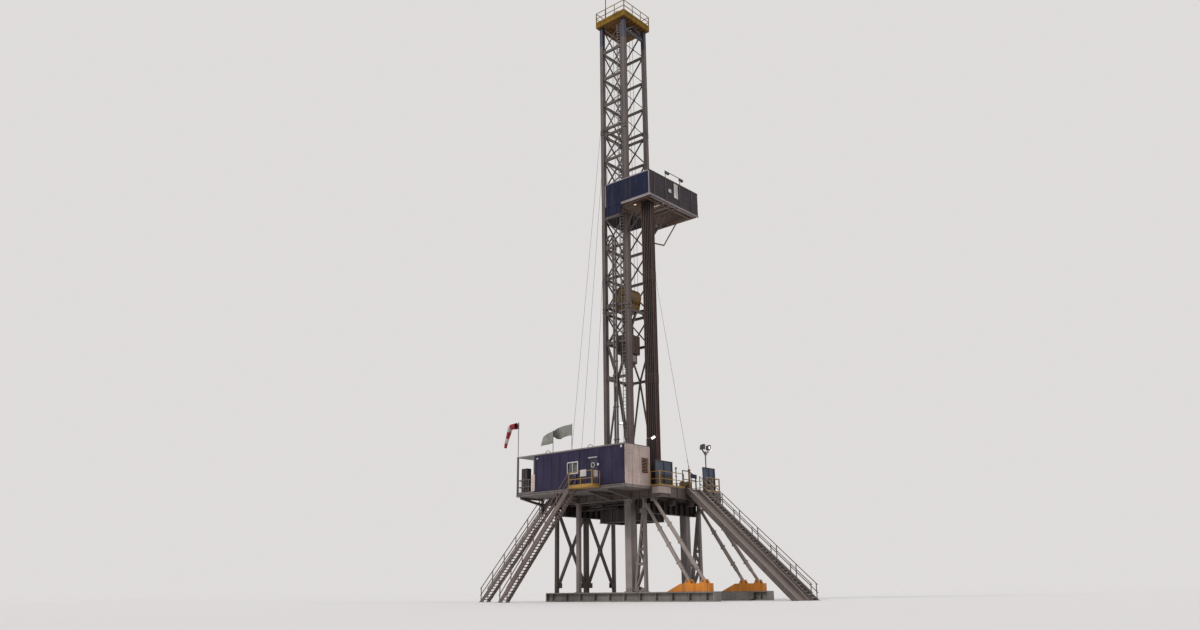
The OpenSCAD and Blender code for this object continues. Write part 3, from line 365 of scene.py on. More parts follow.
column_ribs, column_bolts, lattice_plates, frame_plates = (bmesh.new() for i in range(4))
for side in (-1, 1):
    y = side * FRAME_Y
    for low, high in ((BEAM_TOP + 0.03, BEAM_TOP + 0.16), (GIRDER_LOW - 0.16, GIRDER_LOW - 0.03)):
        for v in (-FLANGE, FLANGE):
            for u in (-0.08, 0.08):
                add_box(column_ribs, (COLUMN_X + u - 0.006, y + v - 0.02, low),
                        (COLUMN_X + u + 0.006, y + v + 0.02, high))
                add_box(column_ribs, (COLUMN_X + v - 0.02, y + u - 0.006, low),
                        (COLUMN_X + v + 0.02, y + u + 0.006, high))
    add_bolts(column_bolts, [(COLUMN_X + u, y + v, BEAM_TOP + 0.03) for u in (-0.168, 0, 0.168)
                             for v in (-0.168, 0.168)], (0, 0, 1))
    for low, high in ((BEAM_TOP, BEAM_TOP + 0.02), (GIRDER_LOW - 0.02, GIRDER_LOW)):
        add_box(lattice_plates, (MIDDLE_X - 0.12, y - 0.12, low), (MIDDLE_X + 0.12, y + 0.12, high))
        add_box(lattice_plates, (LATTICE_X - 0.09, y - 0.11, low), (LATTICE_X + 0.08, y + 0.11, high))
    for s in (-1, 1):
        face, outer = y + s * 0.075, y + s * 0.075 + s * 0.008
        for along, high, reach in LATTICE_PLATES:
            x, z, bolt = LATTICE_X + along, BEAM_TOP + high, reach * 0.3
            add_box(lattice_plates, (x - reach / 2, face, z - reach / 2 + 0.02),
                    (x + reach / 2, outer, z + reach / 2))
            add_bolts(column_bolts, [(x + u, outer, z + v) for u in (-bolt, bolt) for v in (-bolt, bolt)],
                      (0, s, 0), 0.008, 0.008)
    for s in (-1, 1):
        x0 = REAR_X + s * 0.065
        x1 = x0 + s * 0.01
        for z in (0.62, 3.45):
            for v in (side * 0.20, side * 1.64):
                add_box(frame_plates, (x0, v - 0.10, z - 0.10), (x1, v + 0.10, z + 0.10))
        add_box(frame_plates, (x0, side * 0.8875 - 0.07, 1.975), (x1, side * 0.8875 + 0.07, 2.115))
piece("column_ribs", column_ribs, column_grey)
piece("column_bolts", column_bolts, bolt_steel)
piece("lattice_plates", lattice_plates, lattice_grey)
piece("frame_plates", frame_plates, frame_shaded)

# Raking struts and shoes
# Four long tubes lean from the floor's front to yellow shoes on the base beams. Light grey paint,
# with bolted clamps round the tubes; the shoes are plated boxes, pinned to the struts.
strut_grey = old_paint("strut_grey", (0.27, 0.225, 0.205), chips=0.3, runs=0.4, dusting=0.5)
shoe_yellow = old_paint("shoe_yellow", (0.64, 0.215, 0.010), chips=0.35, runs=0.35, dusting=0.4)
dress(strut_grey, "front_struts")
dress(shoe_yellow, "strut_shoes")

ACROSS = Vector((0, 1, 0))
STRUTS = (((4.02, 0.70), (2.1653, 3.48)), ((4.69, 0.70), (2.52, 3.6847)))
clamps, pins, shoe_ribs = (bmesh.new() for i in range(3))
for side in (-1, 1):
    for foot, head in STRUTS:
        foot, head = (Vector((x, side * FRAME_Y, z)) for x, z in (foot, head))
        way = (head - foot).normalized()
        above = way.cross(ACROSS)
        length = (head - foot).length
        for t in (0.24, 0.47, 0.68):
            middle = foot + way * length * t
            add_tube(clamps, (middle - way * 0.022, middle + way * 0.022), 0.083, 20)
            for s in (-1, 1):
                add_bar(clamps, middle + above * s * 0.075, middle + above * s * 0.12, 0.044, 0.03)
        for place in (foot, head):
            reach = 0.165 if place is foot else 0.125
            add_tube(pins, (place - ACROSS * reach, place + ACROSS * reach), 0.028, 16)
            for s in (-1, 1):
                outer = place + ACROSS * s * (reach - 0.018)
                add_tube(pins, (outer, outer + ACROSS * s * 0.01), 0.042, 16)
    for s in (-1, 1):
        y0, y1 = side * FRAME_Y + s * 0.079, side * FRAME_Y + s * 0.10
        add_box(clamps, (2.105, y0, 3.40), (2.235, y1, 3.56))
        add_box(clamps, (2.44, y0, 3.62), (2.60, y1, GIRDER_LOW))
        y0, y1 = side * FRAME_Y + s * 0.14, side * FRAME_Y + s * 0.14 + s * 0.012
        for x in (3.80, 4.36, 4.88):
            add_box(shoe_ribs, (x - 0.008, y0, BEAM_TOP), (x + 0.008, y1, BEAM_TOP + 0.275))
        add_box(shoe_ribs, (3.15, y0, BEAM_TOP), (4.94, y1, BEAM_TOP + 0.02))
        add_bolts(shoe_ribs, [(3.25 + 0.21 * i, y1, BEAM_TOP + 0.01) for i in range(9)], (0, s, 0), 0.009)
piece("strut_clamps", clamps, strut_grey, smooth=True)
piece("strut_pins", pins, bolt_steel, smooth=True)
piece("shoe_ribs", shoe_ribs, shoe_yellow)

# Floor frame
# Deep girders under a plated steel deck, and deeper beams round the well opening. Dark grey paint,
# near black below the deck; the deck plates are welded on and worn bare in patches.
girder_dark = old_paint("girder_dark", (0.092, 0.068, 0.058), chips=0.35, runs=0.8, dusting=0.3)
# Near black, for the beams and gear below the deck and some dark gear elsewhere.
near_black = old_paint("near_black", (0.019, 0.010, 0.008), chips=0.3, runs=0.7, dusting=0.2)
deck_grey = old_paint("deck_grey", (0.13, 0.115, 0.11), chips=0.6, runs=0.5, dusting=0.5)
table_red = old_paint("table_red", (0.16, 0.05, 0.035), chips=0.6, runs=0.5, dusting=0.2)
corner_cream = old_paint("corner_cream", (0.32, 0.25, 0.23), chips=0.2, runs=0.35, dusting=0.1)
dress(girder_dark, "floor_girders", "doghouse_brackets")
dress(near_black, "rotary_beams")
dress(deck_grey, "floor_deck", "doghouse_floor")
dress(table_red, "rotary_table")

FLOOR_Z, GIRDER_TOP, WELL_LOW = 4.155, 4.125, 3.045
FLOOR_BACK, FLOOR_FRONT, FLOOR_Y = -2.6, 3.0, 1.985
FRONT_SPANS = ((-FLOOR_Y, -0.42), (-0.38, 0.38), (0.42, 0.53), (0.99, FLOOR_Y))
girder_ribs, corner_plate, deck_plates = (bmesh.new() for i in range(3))
for side, top in ((-1, 4.03), (1, GIRDER_TOP)):
    y0, y1 = side * FLOOR_Y, side * (FLOOR_Y + 0.03)
    for i in range(13):
        x = FLOOR_BACK + 0.1 + i * 0.45
        add_box(girder_ribs, (x - 0.006, y0, GIRDER_LOW), (x + 0.006, y1, top))
    for z in (GIRDER_LOW, top - 0.02):
        add_box(girder_ribs, (FLOOR_BACK, y0, z), (FLOOR_FRONT, y1, z + 0.02))
for x0, x1 in ((FLOOR_BACK - 0.03, FLOOR_BACK), (FLOOR_FRONT, FLOOR_FRONT + 0.03)):
    for low, high in FRONT_SPANS if x0 > 0 else ((-1.55, FLOOR_Y),):
        for z in (GIRDER_LOW, GIRDER_TOP - 0.02):
            add_box(girder_ribs, (x0, low, z), (x1, high, z + 0.02))
        count = max(1, round((high - low) / 0.45))
        for i in range(count + 1):
            y = low + 0.01 + (high - low - 0.02) * i / count
            add_box(girder_ribs, (x0, y - 0.006, GIRDER_LOW), (x1, y + 0.006, GIRDER_TOP))
for side in (-1, 1):
    for i in range(5):
        x = -0.9 + i * 0.45
        add_box(girder_ribs, (x - 0.006, side * 0.70, WELL_LOW), (x + 0.006, side * 0.73, GIRDER_LOW))
    add_box(girder_ribs, (-1.10, side * 0.70, WELL_LOW - 0.02), (1.10, side * 0.73, WELL_LOW))
for x0 in (-1.13, 1.10):
    add_box(girder_ribs, (x0, -0.73, WELL_LOW - 0.02), (x0 + 0.03, 0.73, WELL_LOW))
    for i in range(4):
        y = -0.6 + i * 0.4
        add_box(girder_ribs, (x0, y - 0.006, WELL_LOW), (x0 + 0.03, y + 0.006, GIRDER_LOW))
add_box(corner_plate, (2.64, -2.035, 3.87), (3.05, -2.015, 4.11))
add_box(corner_plate, (3.03, -2.015, 3.87), (3.05, -1.42, 4.11))
PLATE_LONG, PLATE_WIDE = 0.6, 0.545
NO_PLATE = [(-0.36, -0.36, 0.36, 0.36), (2.05, 0.3, 2.6, 0.95), (1.72, -1.3, 2.4, -0.9),
            (2.5, 1.45, 2.8, 1.67), (2.73, -1.96, 2.83, -0.92), (2.73, 1.13, 2.83, 1.96)]
NO_PLATE += [(x - 0.16, y - 0.165, x + 0.16, y + 0.165) for x in (-0.645, 0.645) for y in (-0.735, 0.735)]
for i in range(9):
    for j in range(7):
        x, y = FLOOR_BACK + 0.05 + i * 0.615, -FLOOR_Y + 0.05 + j * 0.556
        x1, y1 = x + PLATE_LONG, y + PLATE_WIDE
        hits = [x < right and x1 > left and y < back and y1 > front for left, front, right, back in NO_PLATE]
        if not any(hits):
            add_box(deck_plates, (x, y, FLOOR_Z), (x1, y1, FLOOR_Z + 0.004))
piece("girder_ribs", girder_ribs, girder_dark)

UNDER_PIPES = ((-2.30, 0.10, -0.92, 3.60, 0.075, 16, 0.08, (-2.2, -1.1, 0.0)),
               (-1.15, 2.20, -1.25, 3.66, 0.045, 14, 0.05, (-1.1, 0.3, 2.1)),
               (-2.40, 2.50, 1.10, 3.64, 0.045, 14, 0.05, (-1.1, 0.3, 2.1)))
under_pipes = bmesh.new()
for x0, x1, y, z, radius, sides, reach, hung_at in UNDER_PIPES:
    add_tube(under_pipes, ((x0, y, z), (x1, y, z)), radius, sides)
add_box(under_pipes, (-2.30, -1.60, 3.69), (2.30, -1.45, 3.70))
for y0 in (-1.605, -1.455):
    add_box(under_pipes, (-2.30, y0, 3.69), (2.30, y0 + 0.01, 3.745))
for x0, x1, y, z, radius, sides, reach, hung_at in UNDER_PIPES:
    for x in hung_at:
        add_box(under_pipes, (x - 0.02, y - reach, z - reach), (x + 0.02, y - reach + 0.01, GIRDER_LOW))
        add_box(under_pipes, (x - 0.02, y + reach - 0.01, z - reach), (x + 0.02, y + reach, GIRDER_LOW))
        add_box(under_pipes, (x - 0.02, y - reach, z - reach), (x + 0.02, y + reach, z - reach + 0.01))
for x0, low in ((-2.18, 3.30), (1.72, 3.24)):
    add_box(under_pipes, (x0 + 0.09, -1.85, low), (x0 + 0.12, 1.85, GIRDER_LOW))
    for z0 in (low, GIRDER_LOW - 0.02):
        add_box(under_pipes, (x0, -1.85, z0), (x0 + 0.21, 1.85, z0 + 0.02))
    for i in range(11):
        y = -1.80 + i * 0.36
        add_box(under_pipes, (x0 + 0.01, y - 0.006, low + 0.02), (x0 + 0.20, y + 0.006, GIRDER_LOW - 0.02))
for x, y, w, d, h in ((1.55, -1.55, 0.16, 0.12, 0.20), (-0.35, -1.55, 0.30, 0.14, 0.16),
                      (2.75, -0.95, 0.22, 0.20, 0.26), (-1.75, -1.05, 0.26, 0.20, 0.22),
                      (2.75, 0.20, 0.20, 0.30, 0.22)):
    add_box(under_pipes, (x - w / 2, y - d / 2, GIRDER_LOW - h), (x + w / 2, y + d / 2, GIRDER_LOW))
piece("under_pipes", under_pipes, near_black, smooth=True)
piece("corner_plate", corner_plate, corner_cream, bevel=0.003)
piece("deck_plates", deck_plates, deck_grey)

# Doghouse
# A steel cabin hung beside the floor: dark navy sides of plates with seams, cream ends with trims
# and a tan louvre, a low roof with two lifting hoops and a lamp. Doors and window are framed.
dog_navy = old_paint("dog_navy", (0.030, 0.025, 0.057), chips=0.12, runs=0.25, dusting=0.1, gloss=0.12)
dog_cream = old_paint("dog_cream", (0.45, 0.35, 0.315), chips=0.15, runs=0.3, dusting=0.1)
trim_cream = old_paint("trim_cream", (0.50, 0.40, 0.36), chips=0.2, runs=0.3, dusting=0.1)
roof_grey = old_paint("roof_grey", (0.15, 0.135, 0.14), chips=0.3, runs=0.5, dusting=0.6)
door_navy = old_paint("door_navy", (0.025, 0.023, 0.048), chips=0.2, runs=0.3, dusting=0.1)
tan_paint = old_paint("tan_paint", (0.46, 0.31, 0.235), chips=0.2, runs=0.4, dusting=0.1)
trim_white = old_paint("trim_white", (0.55, 0.52, 0.50), chips=0.15, runs=0.35, dusting=0.1)
edge_grey = old_paint("edge_grey", (0.19, 0.16, 0.15), chips=0.35, runs=0.5, dusting=0.3)
dress(dog_navy, "doghouse_side_wall", "doghouse_inner_wall")
dress(dog_cream, "doghouse_end_walls")
dress(roof_grey, "doghouse_roof")
dress(door_navy, "doghouse_doors")
dress(tan_paint, "doghouse_louvre")

pane_look, tree, shader = surface("window_pane")
smear = cloudy(tree, node(tree, "TexCoord").outputs["Object"], 6.0, 4)
tree.links.new(mixed(tree, ramped(tree, smear, 0.35, 0.7), (0.06, 0.07, 0.085, 1), (0.16, 0.16, 0.16, 1)),
               shader.inputs["Base Color"])
shader.inputs["Roughness"].default_value = 0.12
shader.inputs["Alpha"].default_value = 0.8
dress(pane_look, "doghouse_window")


def lamp_glass(name, colour, strength):
    """The lit glass of a lamp"""
    made, tree, shader = surface(name)
    shader.inputs["Base Color"].default_value = (*colour, 1)
    shader.inputs["Emission Color"].default_value = (*colour, 1)
    shader.inputs["Emission Strength"].default_value = strength
    shader.inputs["Roughness"].default_value = 0.3
    return made


def circle(x, y, z, radius, angles):
    """Points round a middle at angles in degrees, in the upright plane along X"""
    return [(x + radius * cos(radians(a)), y, z + radius * sin(radians(a))) for a in angles]


lamp_white = lamp_glass("lamp_white", (0.55, 0.56, 0.62), 0.08)
lamp_bright = lamp_glass("lamp_bright", (1.0, 0.97, 0.93), 1.6)

DOG_LOW, DOG_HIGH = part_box("doghouse_side_wall")
DOG_BACK, DOG_FRONT, DOG_Y = DOG_LOW.x, DOG_HIGH.x, DOG_LOW.y
ROOF_LOW, ROOF_TOP = 5.605, 5.645
PORCH_BACK, CHANNEL_LOW = -3.135, 4.045
PORTHOLE_X, PORTHOLE_Z, HANDLE_Z = 0.973, 4.948, 4.66
navy_ribs, channel, pale_parts, white_parts, navy_door = (bmesh.new() for i in range(5))
for x in (-1.66, -1.20, -0.757, 0.32, 1.42, 1.88):
    add_box(navy_ribs, (x - 0.012, DOG_Y - 0.008, 4.19), (x + 0.012, DOG_Y, ROOF_LOW))
for x in (-2.06, -0.335, 0.25, 0.69, 1.29, 2.46):
    add_box(navy_ribs, (x - 0.03, DOG_Y - 0.014, 4.19), (x + 0.03, DOG_Y, ROOF_LOW))
for x in (-1.7, -1.3, -0.5, 0.0, 0.5, 1.0, 1.5, 2.0, 2.4):
    add_box(navy_ribs, (x - 0.012, -FLOOR_Y, 4.19), (x + 0.012, -FLOOR_Y + 0.008, ROOF_LOW))
for z in (4.20, 5.56):
    add_box(navy_ribs, (DOG_BACK, DOG_Y - 0.012, z), (0.77, DOG_Y, z + 0.04))
    add_box(navy_ribs, (1.21, DOG_Y - 0.012, z), (DOG_FRONT, DOG_Y, z + 0.04))
for x0, x1 in ((PORCH_BACK, 0.12), (1.33, DOG_FRONT)):
    for z in (CHANNEL_LOW, CHANNEL_LOW + 0.08):
        add_box(channel, (x0, DOG_Y - 0.02, z), (x1, DOG_Y, z + 0.03))
add_box(channel, (DOG_FRONT, DOG_Y, CHANNEL_LOW), (DOG_FRONT + 0.02, -FLOOR_Y - 0.02, FLOOR_Z))
for x in [-3.1 + i * 0.45 for i in range(8)] + [2.49]:
    add_box(channel, (x - 0.006, DOG_Y - 0.02, CHANNEL_LOW + 0.03), (x + 0.006, DOG_Y, CHANNEL_LOW + 0.08))
add_box(channel, (PORCH_BACK, DOG_Y - 0.015, ROOF_LOW - 0.01), (DOG_FRONT, DOG_Y, ROOF_TOP))
for y0, y1 in ((DOG_Y, DOG_Y + 0.06), (-2.045, -1.99), (-2.58, -2.545), (-3.02, -2.995)):
    add_box(pale_parts, (DOG_FRONT, y0, FLOOR_Z), (DOG_FRONT + 0.014, y1, ROOF_LOW))
for z, y1 in ((FLOOR_Z, -1.99), (4.50, -2.545), (5.30, -2.545), (ROOF_LOW - 0.05, -1.99)):
    add_box(pale_parts, (DOG_FRONT, DOG_Y, z), (DOG_FRONT + 0.012, y1, z + 0.045))
for x, z, r in ((-1.967, 5.47, 0.045), (2.38, 5.52, 0.05)):
    add_tube(white_parts, ((x, DOG_Y - 0.02, z), (x, DOG_Y, z)), r, 4 if x < 0 else 20)
for x0, x1, z0, z1 in ((-0.345, -0.305, 4.695, 5.165), (0.185, 0.225, 4.695, 5.165),
                       (-0.305, 0.185, 5.125, 5.165), (-0.305, 0.185, 4.695, 4.735),
                       (-0.075, -0.045, 4.735, 5.125)):
    add_box(white_parts, (x0, DOG_Y - 0.022, z0), (x1, DOG_Y + 0.018, z1))
porthole = circle(PORTHOLE_X, DOG_Y - 0.002, PORTHOLE_Z, 0.085, range(0, 360, 15))
add_tube(white_parts, porthole, 0.018, 8, closed=True)
add_box(white_parts, (0.76, DOG_Y - 0.06, 5.235), (1.22, DOG_Y, 5.25))
add_tube(navy_door, [(PORTHOLE_X, DOG_Y + y, PORTHOLE_Z) for y in (0.001, 0.008)], 0.08, 24)
for x0, x1, z0, z1 in ((0.745, 0.775, FLOOR_Z, 5.195), (1.205, 1.235, FLOOR_Z, 5.195),
                       (0.745, 1.235, 5.165, 5.195)):
    add_box(navy_door, (x0, DOG_Y - 0.018, z0), (x1, DOG_Y + 0.004, z1))
for z0, z1 in ((4.22, 4.55), (4.60, 4.82)):
    add_box(navy_door, (0.84, DOG_Y + 0.002, z0), (1.14, DOG_Y + 0.008, z1))
for z in (4.32, 4.98):
    add_tube(navy_door, ((0.785, DOG_Y - 0.012, z - 0.04), (0.785, DOG_Y - 0.012, z + 0.04)), 0.012, 8)
piece("doghouse_ribs", navy_ribs, dog_navy)
piece("doghouse_channel", channel, edge_grey)
piece("doghouse_trims", pale_parts, trim_cream)
piece("doghouse_white_parts", white_parts, trim_white)
piece("doghouse_door_parts", navy_door, door_navy)

handles, tube_lights, hoops = (bmesh.new() for i in range(3))
for x, y, s in ((1.15, DOG_Y - 0.03, -1), (-1.06, -FLOOR_Y + 0.03, 1)):
    add_tube(handles, ((x, y - s * 0.03, HANDLE_Z), (x, y, HANDLE_Z), (x - 0.09, y, HANDLE_Z)), 0.008, 8)
    add_tube(handles, ((x, y - s * 0.03, HANDLE_Z), (x, y - s * 0.02, HANDLE_Z)), 0.022, 12)
add_tube(tube_lights, ((0.78, DOG_Y - 0.035, 5.222), (1.20, DOG_Y - 0.035, 5.222)), 0.013, 10)
add_box(tube_lights, (1.225, DOG_Y - 0.05, 4.91), (1.29, DOG_Y - 0.014, 4.99))
for x in (-1.50, 0.74):
    arch = [(x + 0.13 * cos(a * pi / 12), -3.36, ROOF_TOP + 0.11 * sin(a * pi / 12)) for a in range(13)]
    add_tube(hoops, arch, 0.014, 8)
    for s in (-1, 1):
        add_box(hoops, (x + s * 0.13 - 0.03, -3.40, ROOF_TOP), (x + s * 0.13 + 0.03, -3.32, ROOF_TOP + 0.008))
for i in range(12):
    x = -2.9 + i * 0.47
    add_box(hoops, (x - 0.015, DOG_Y + 0.02, ROOF_TOP), (x + 0.015, -2.0, ROOF_TOP + 0.012))
piece("door_handles", handles, trim_white, smooth=True)
piece("door_lights", tube_lights, lamp_white, smooth=True)
piece("roof_hoops", hoops, roof_grey, smooth=True)

roof_lamp, roof_glass = bmesh.new(), bmesh.new()
bracket = ((2.44, -2.04, ROOF_TOP), (2.44, -2.04, 5.93), (2.46, -1.99, 5.97), (2.57, -1.78, 5.97))
add_tube(roof_lamp, bracket, 0.014, 8)
add_box(roof_lamp, (2.39, -2.09, ROOF_TOP), (2.49, -1.99, ROOF_TOP + 0.008))
LAMP_WAY = Vector((0.74, -0.62, -0.28)).normalized()
lamp_place = Vector((2.57, -1.80, 6.01))
LAMP_TILT = Vector((-0.38, -0.38, 0.84))
add_bar(roof_lamp, lamp_place, lamp_place + LAMP_WAY * 0.06, 0.18, 0.10, over=LAMP_TILT)
for s in (-1, 1):
    glass_place = lamp_place + LAMP_WAY.cross(LAMP_TILT).normalized() * s * 0.042 + LAMP_WAY * 0.06
    add_bar(roof_glass, glass_place, glass_place + LAMP_WAY * 0.006, 0.068, 0.08, over=LAMP_TILT)
piece("roof_lamp", roof_lamp, edge_grey)
piece("roof_lamp_glass", roof_glass, lamp_bright)

# Porch and landing
# The open back end of the cabin, with a dark switch cabinet behind grey rails, and a yellow landing
# with two blank boards wired to its rails. Painted steel; the cabinet is bolted to the floor.
rail_grey = old_paint("rail_grey", (0.11, 0.095, 0.095), chips=0.3, runs=0.4, dusting=0.3)
rail_yellow = old_paint("rail_yellow", (0.30, 0.165, 0.030), chips=0.35, runs=0.3, dusting=0.4)
dress(rail_grey, "porch_frame", "porch_rails", "roof_poles")
dress(rail_yellow, "landing_rails", "front_rails", "back_rails", "door_landing")

cabinet, porch_pale, boards, ties, mesh_bars = (bmesh.new() for i in range(5))
add_box(cabinet, (-2.95, -3.39, FLOOR_Z), (-2.62, -3.16, 5.16))
add_box(cabinet, (-2.935, -3.402, 4.20), (-2.79, -3.39, 5.13))
add_box(cabinet, (-2.78, -3.402, 4.20), (-2.635, -3.39, 5.13))
add_box(porch_pale, (-2.27, -3.487, 4.22), (-2.10, -3.475, 4.86))
add_tube(porch_pale, ((-2.80, -3.41, 4.62), (-2.80, -3.41, 4.78)), 0.008, 8)
add_box(boards, (0.762, -3.962, 4.488), (1.06, -3.954, 4.738))
add_box(boards, (1.334, -3.86, 4.46), (1.342, -3.62, 4.70))
for v in (0.79, 1.03):
    add_tube(ties, ((v, -3.966, 4.695), (v, -3.945, 4.695)), 0.005, 6)
for v in (-3.84, -3.64):
    add_tube(ties, ((1.325, v, 4.69), (1.346, v, 4.69)), 0.005, 6)
for i in range(14):
    y = -3.40 + i * 0.1
    add_tube(mesh_bars, ((-3.105, y, 4.20), (-3.105, y, 4.70)), 0.004, 6)
for i in range(10):
    x = -3.06 + i * 0.085
    add_tube(mesh_bars, ((x, -3.445, 4.20), (x, -3.445, 4.70)), 0.004, 6)
piece("porch_cabinet", cabinet, near_black, bevel=0.004)
piece("porch_panel", porch_pale, trim_cream)
piece("rail_boards", boards, trim_white, bevel=0.002)
piece("board_ties", ties, bolt_steel)
piece("porch_infill", mesh_bars, rail_grey)

# Wind walls and floor gear
# Blue-grey sheet walls with ribs and a brown top edge stand at the floor's front corners. Between
# them a pipe guard and a small panel are bolted to the floor; the winch drum carries its rope.


def split_paint(material, axis, place, below=None, above=None):
    """Another paint below or above a place along an axis"""
    tree = material.node_tree
    look = next(n for n in tree.nodes if n.type == "GROUP")
    own = tuple(look.inputs["Paint"].default_value)[:3]
    along = node(tree, "SeparateXYZ", {0: node(tree, "TexCoord").outputs["Object"]}).outputs[axis]
    edge = ramped(tree, along, place - 0.005, place + 0.005)
    paint = mixed(tree, edge, (*(below or own), 1), (*(above or own), 1))
    tree.links.new(paint, look.inputs["Paint"])


wall_blue = old_paint("wall_blue", (0.055, 0.072, 0.115), chips=0.2, runs=0.5, dusting=0.2)
split_paint(wall_blue, 2, 4.60, below=(0.045, 0.036, 0.033))
winch_yellow = old_paint("winch_yellow", (0.27, 0.16, 0.06), chips=0.45, runs=0.5, dusting=0.3)
edge_brown = old_paint("edge_brown", (0.10, 0.065, 0.05), chips=0.5, runs=0.4, dusting=0.2)
rope_grey = old_paint("rope_grey", (0.075, 0.068, 0.065), chips=0.2, runs=0.2, dusting=0.1, fineness=3.0)
dress(wall_blue, "wind_walls")
dress(winch_yellow, "line_winch")

wall_ribs, wall_edges, guard, drum_rope = (bmesh.new() for i in range(4))
for y0, y1 in ((-1.95, -0.94), (1.145, 1.945)):
    for z in (4.20, 4.62, 5.03):
        add_box(wall_ribs, (2.78, y0, z), (2.80, y1, z + 0.04))
        add_box(wall_ribs, (2.735, y0, z), (2.75, y1, z + 0.04))
    count = round((y1 - y0) / 0.1)
    for i in range(1, count):
        y = y0 + (y1 - y0) * i / count
        add_box(wall_ribs, (2.744, y - 0.012, 4.17), (2.75, y + 0.012, 5.09))
        add_box(wall_ribs, (2.78, y - 0.012, 4.17), (2.786, y + 0.012, 5.09))
    add_box(wall_edges, (2.74, y0, 5.105), (2.83, y1, 5.125))
for x, y, top in ((2.88, -0.815, 4.92), (2.86, -0.36, 4.86), (2.86, 0.50, 4.70)):
    add_tube(guard, ((x, y, FLOOR_Z), (x, y, top)), 0.02, 10)
    add_tube(guard, ((x, y, FLOOR_Z), (x, y, FLOOR_Z + 0.01)), 0.05, 12)
add_tube(guard, ((2.88, -0.815, 4.86), (2.88, -0.815, 4.93)), 0.035, 12)
add_tube(guard, ((2.88, -0.815, 4.56), (2.88, -0.815, 4.60)), 0.032, 12)
add_tube(guard, ((2.86, -0.36, 4.85), (2.86, 0.06, 4.85), (2.86, 0.50, 4.69)), 0.02, 10)
add_tube(guard, ((2.86, -0.36, 4.52), (2.86, 0.50, 4.52)), 0.016, 10)
WINCH = Vector((2.3, 0.56, 4.395))
for i in range(14):
    y = WINCH.y - 0.13 + i * 0.02
    add_tube(drum_rope, circle(WINCH.x, y, WINCH.z, 0.095, range(0, 360, 18)), 0.01, 6, closed=True)
piece("wall_ribs", wall_ribs, wall_blue)
piece("wall_edges", wall_edges, edge_brown)
piece("pipe_guard", guard, near_black, smooth=True)
piece("drum_rope", drum_rope, rope_grey, smooth=True)
far_panel = bmesh.new()
add_box(far_panel, (2.86, 0.16, 4.60), (2.885, 0.56, 4.76))
for y in (0.2, 0.52):
    add_box(far_panel, (2.86, y - 0.015, FLOOR_Z), (2.88, y + 0.015, 4.60))
piece("floor_panel", far_panel, dog_navy, bevel=0.003)

# Light mast
# A post at the floor's front carries two flood lamps with visors, and two small heads on V arms
# beside them. Black cases with glass fronts, clamped on; the two on the right burn.
dress(rail_grey, "light_mast")
lamp_black = old_paint("lamp_black", (0.035, 0.032, 0.032), chips=0.2, runs=0.2, dusting=0.3)
POST_Y, LAMP_FRONT, VISOR_LOW = 1.56, 2.71, 6.065
HEAD_WAY = Vector((0.70, -0.68, -0.22)).normalized()
lamp_boxes, lamp_lit, lamp_dark = (bmesh.new() for i in range(3))
for y, glass in ((1.36, lamp_dark), (1.76, lamp_lit)):
    middle = Vector((2.68, POST_Y + (y - POST_Y) * 1.6, 5.91))
    add_bar(lamp_boxes, middle - HEAD_WAY * 0.05, middle, 0.11, 0.13)
    add_bar(glass, middle, middle + HEAD_WAY * 0.006, 0.085, 0.105)
    add_tube(lamp_boxes, (middle - HEAD_WAY * 0.03, (2.65, POST_Y, 5.62)), 0.013, 8)
    add_box(lamp_boxes, (LAMP_FRONT, y - 0.075, VISOR_LOW), (LAMP_FRONT + 0.05, y + 0.075, VISOR_LOW + 0.015))
    for s in (-1, 1):
        add_box(lamp_boxes, (LAMP_FRONT, y + s * 0.063, 5.87), (LAMP_FRONT + 0.03, y + s * 0.075, VISOR_LOW))
    for i in range(5):
        add_box(lamp_boxes, (2.575, y - 0.05, 5.90 + i * 0.03), (2.59, y + 0.05, 5.912 + i * 0.03))
    add_box(glass, (LAMP_FRONT, y - 0.035, 5.93), (LAMP_FRONT + 0.008, y + 0.035, 6.03))
piece("flood_lamps", lamp_boxes, lamp_black)
piece("flood_glass_lit", lamp_lit, lamp_bright)
piece("flood_glass_dark", lamp_dark, pane_look)

# Stairs
# Steep stairs with side plates, pipe rails and open treads. Grey paint worn pale at the nosings;
# the treads' front edges are bent strips, welded on.
stair_grey = old_paint("stair_grey", (0.10, 0.078, 0.072), chips=0.35, runs=0.4, dusting=0.5)
stair_pale = old_paint("stair_pale", (0.140, 0.100, 0.090), chips=0.3, runs=0.4, dusting=0.4)
tread_grey = old_paint("tread_grey", (0.10, 0.08, 0.075), chips=0.5, runs=0.3, dusting=0.7)
nosing_pale = old_paint("nosing_pale", (0.27, 0.24, 0.22), chips=0.4, runs=0.3, dusting=0.5)
dress(stair_pale, "side_stair_sides", "back_stair_sides")
dress(stair_grey, "ramp_stair_sides")
dress(tread_grey, "side_stair_treads", "back_stair_treads", "ramp_stair_treads")

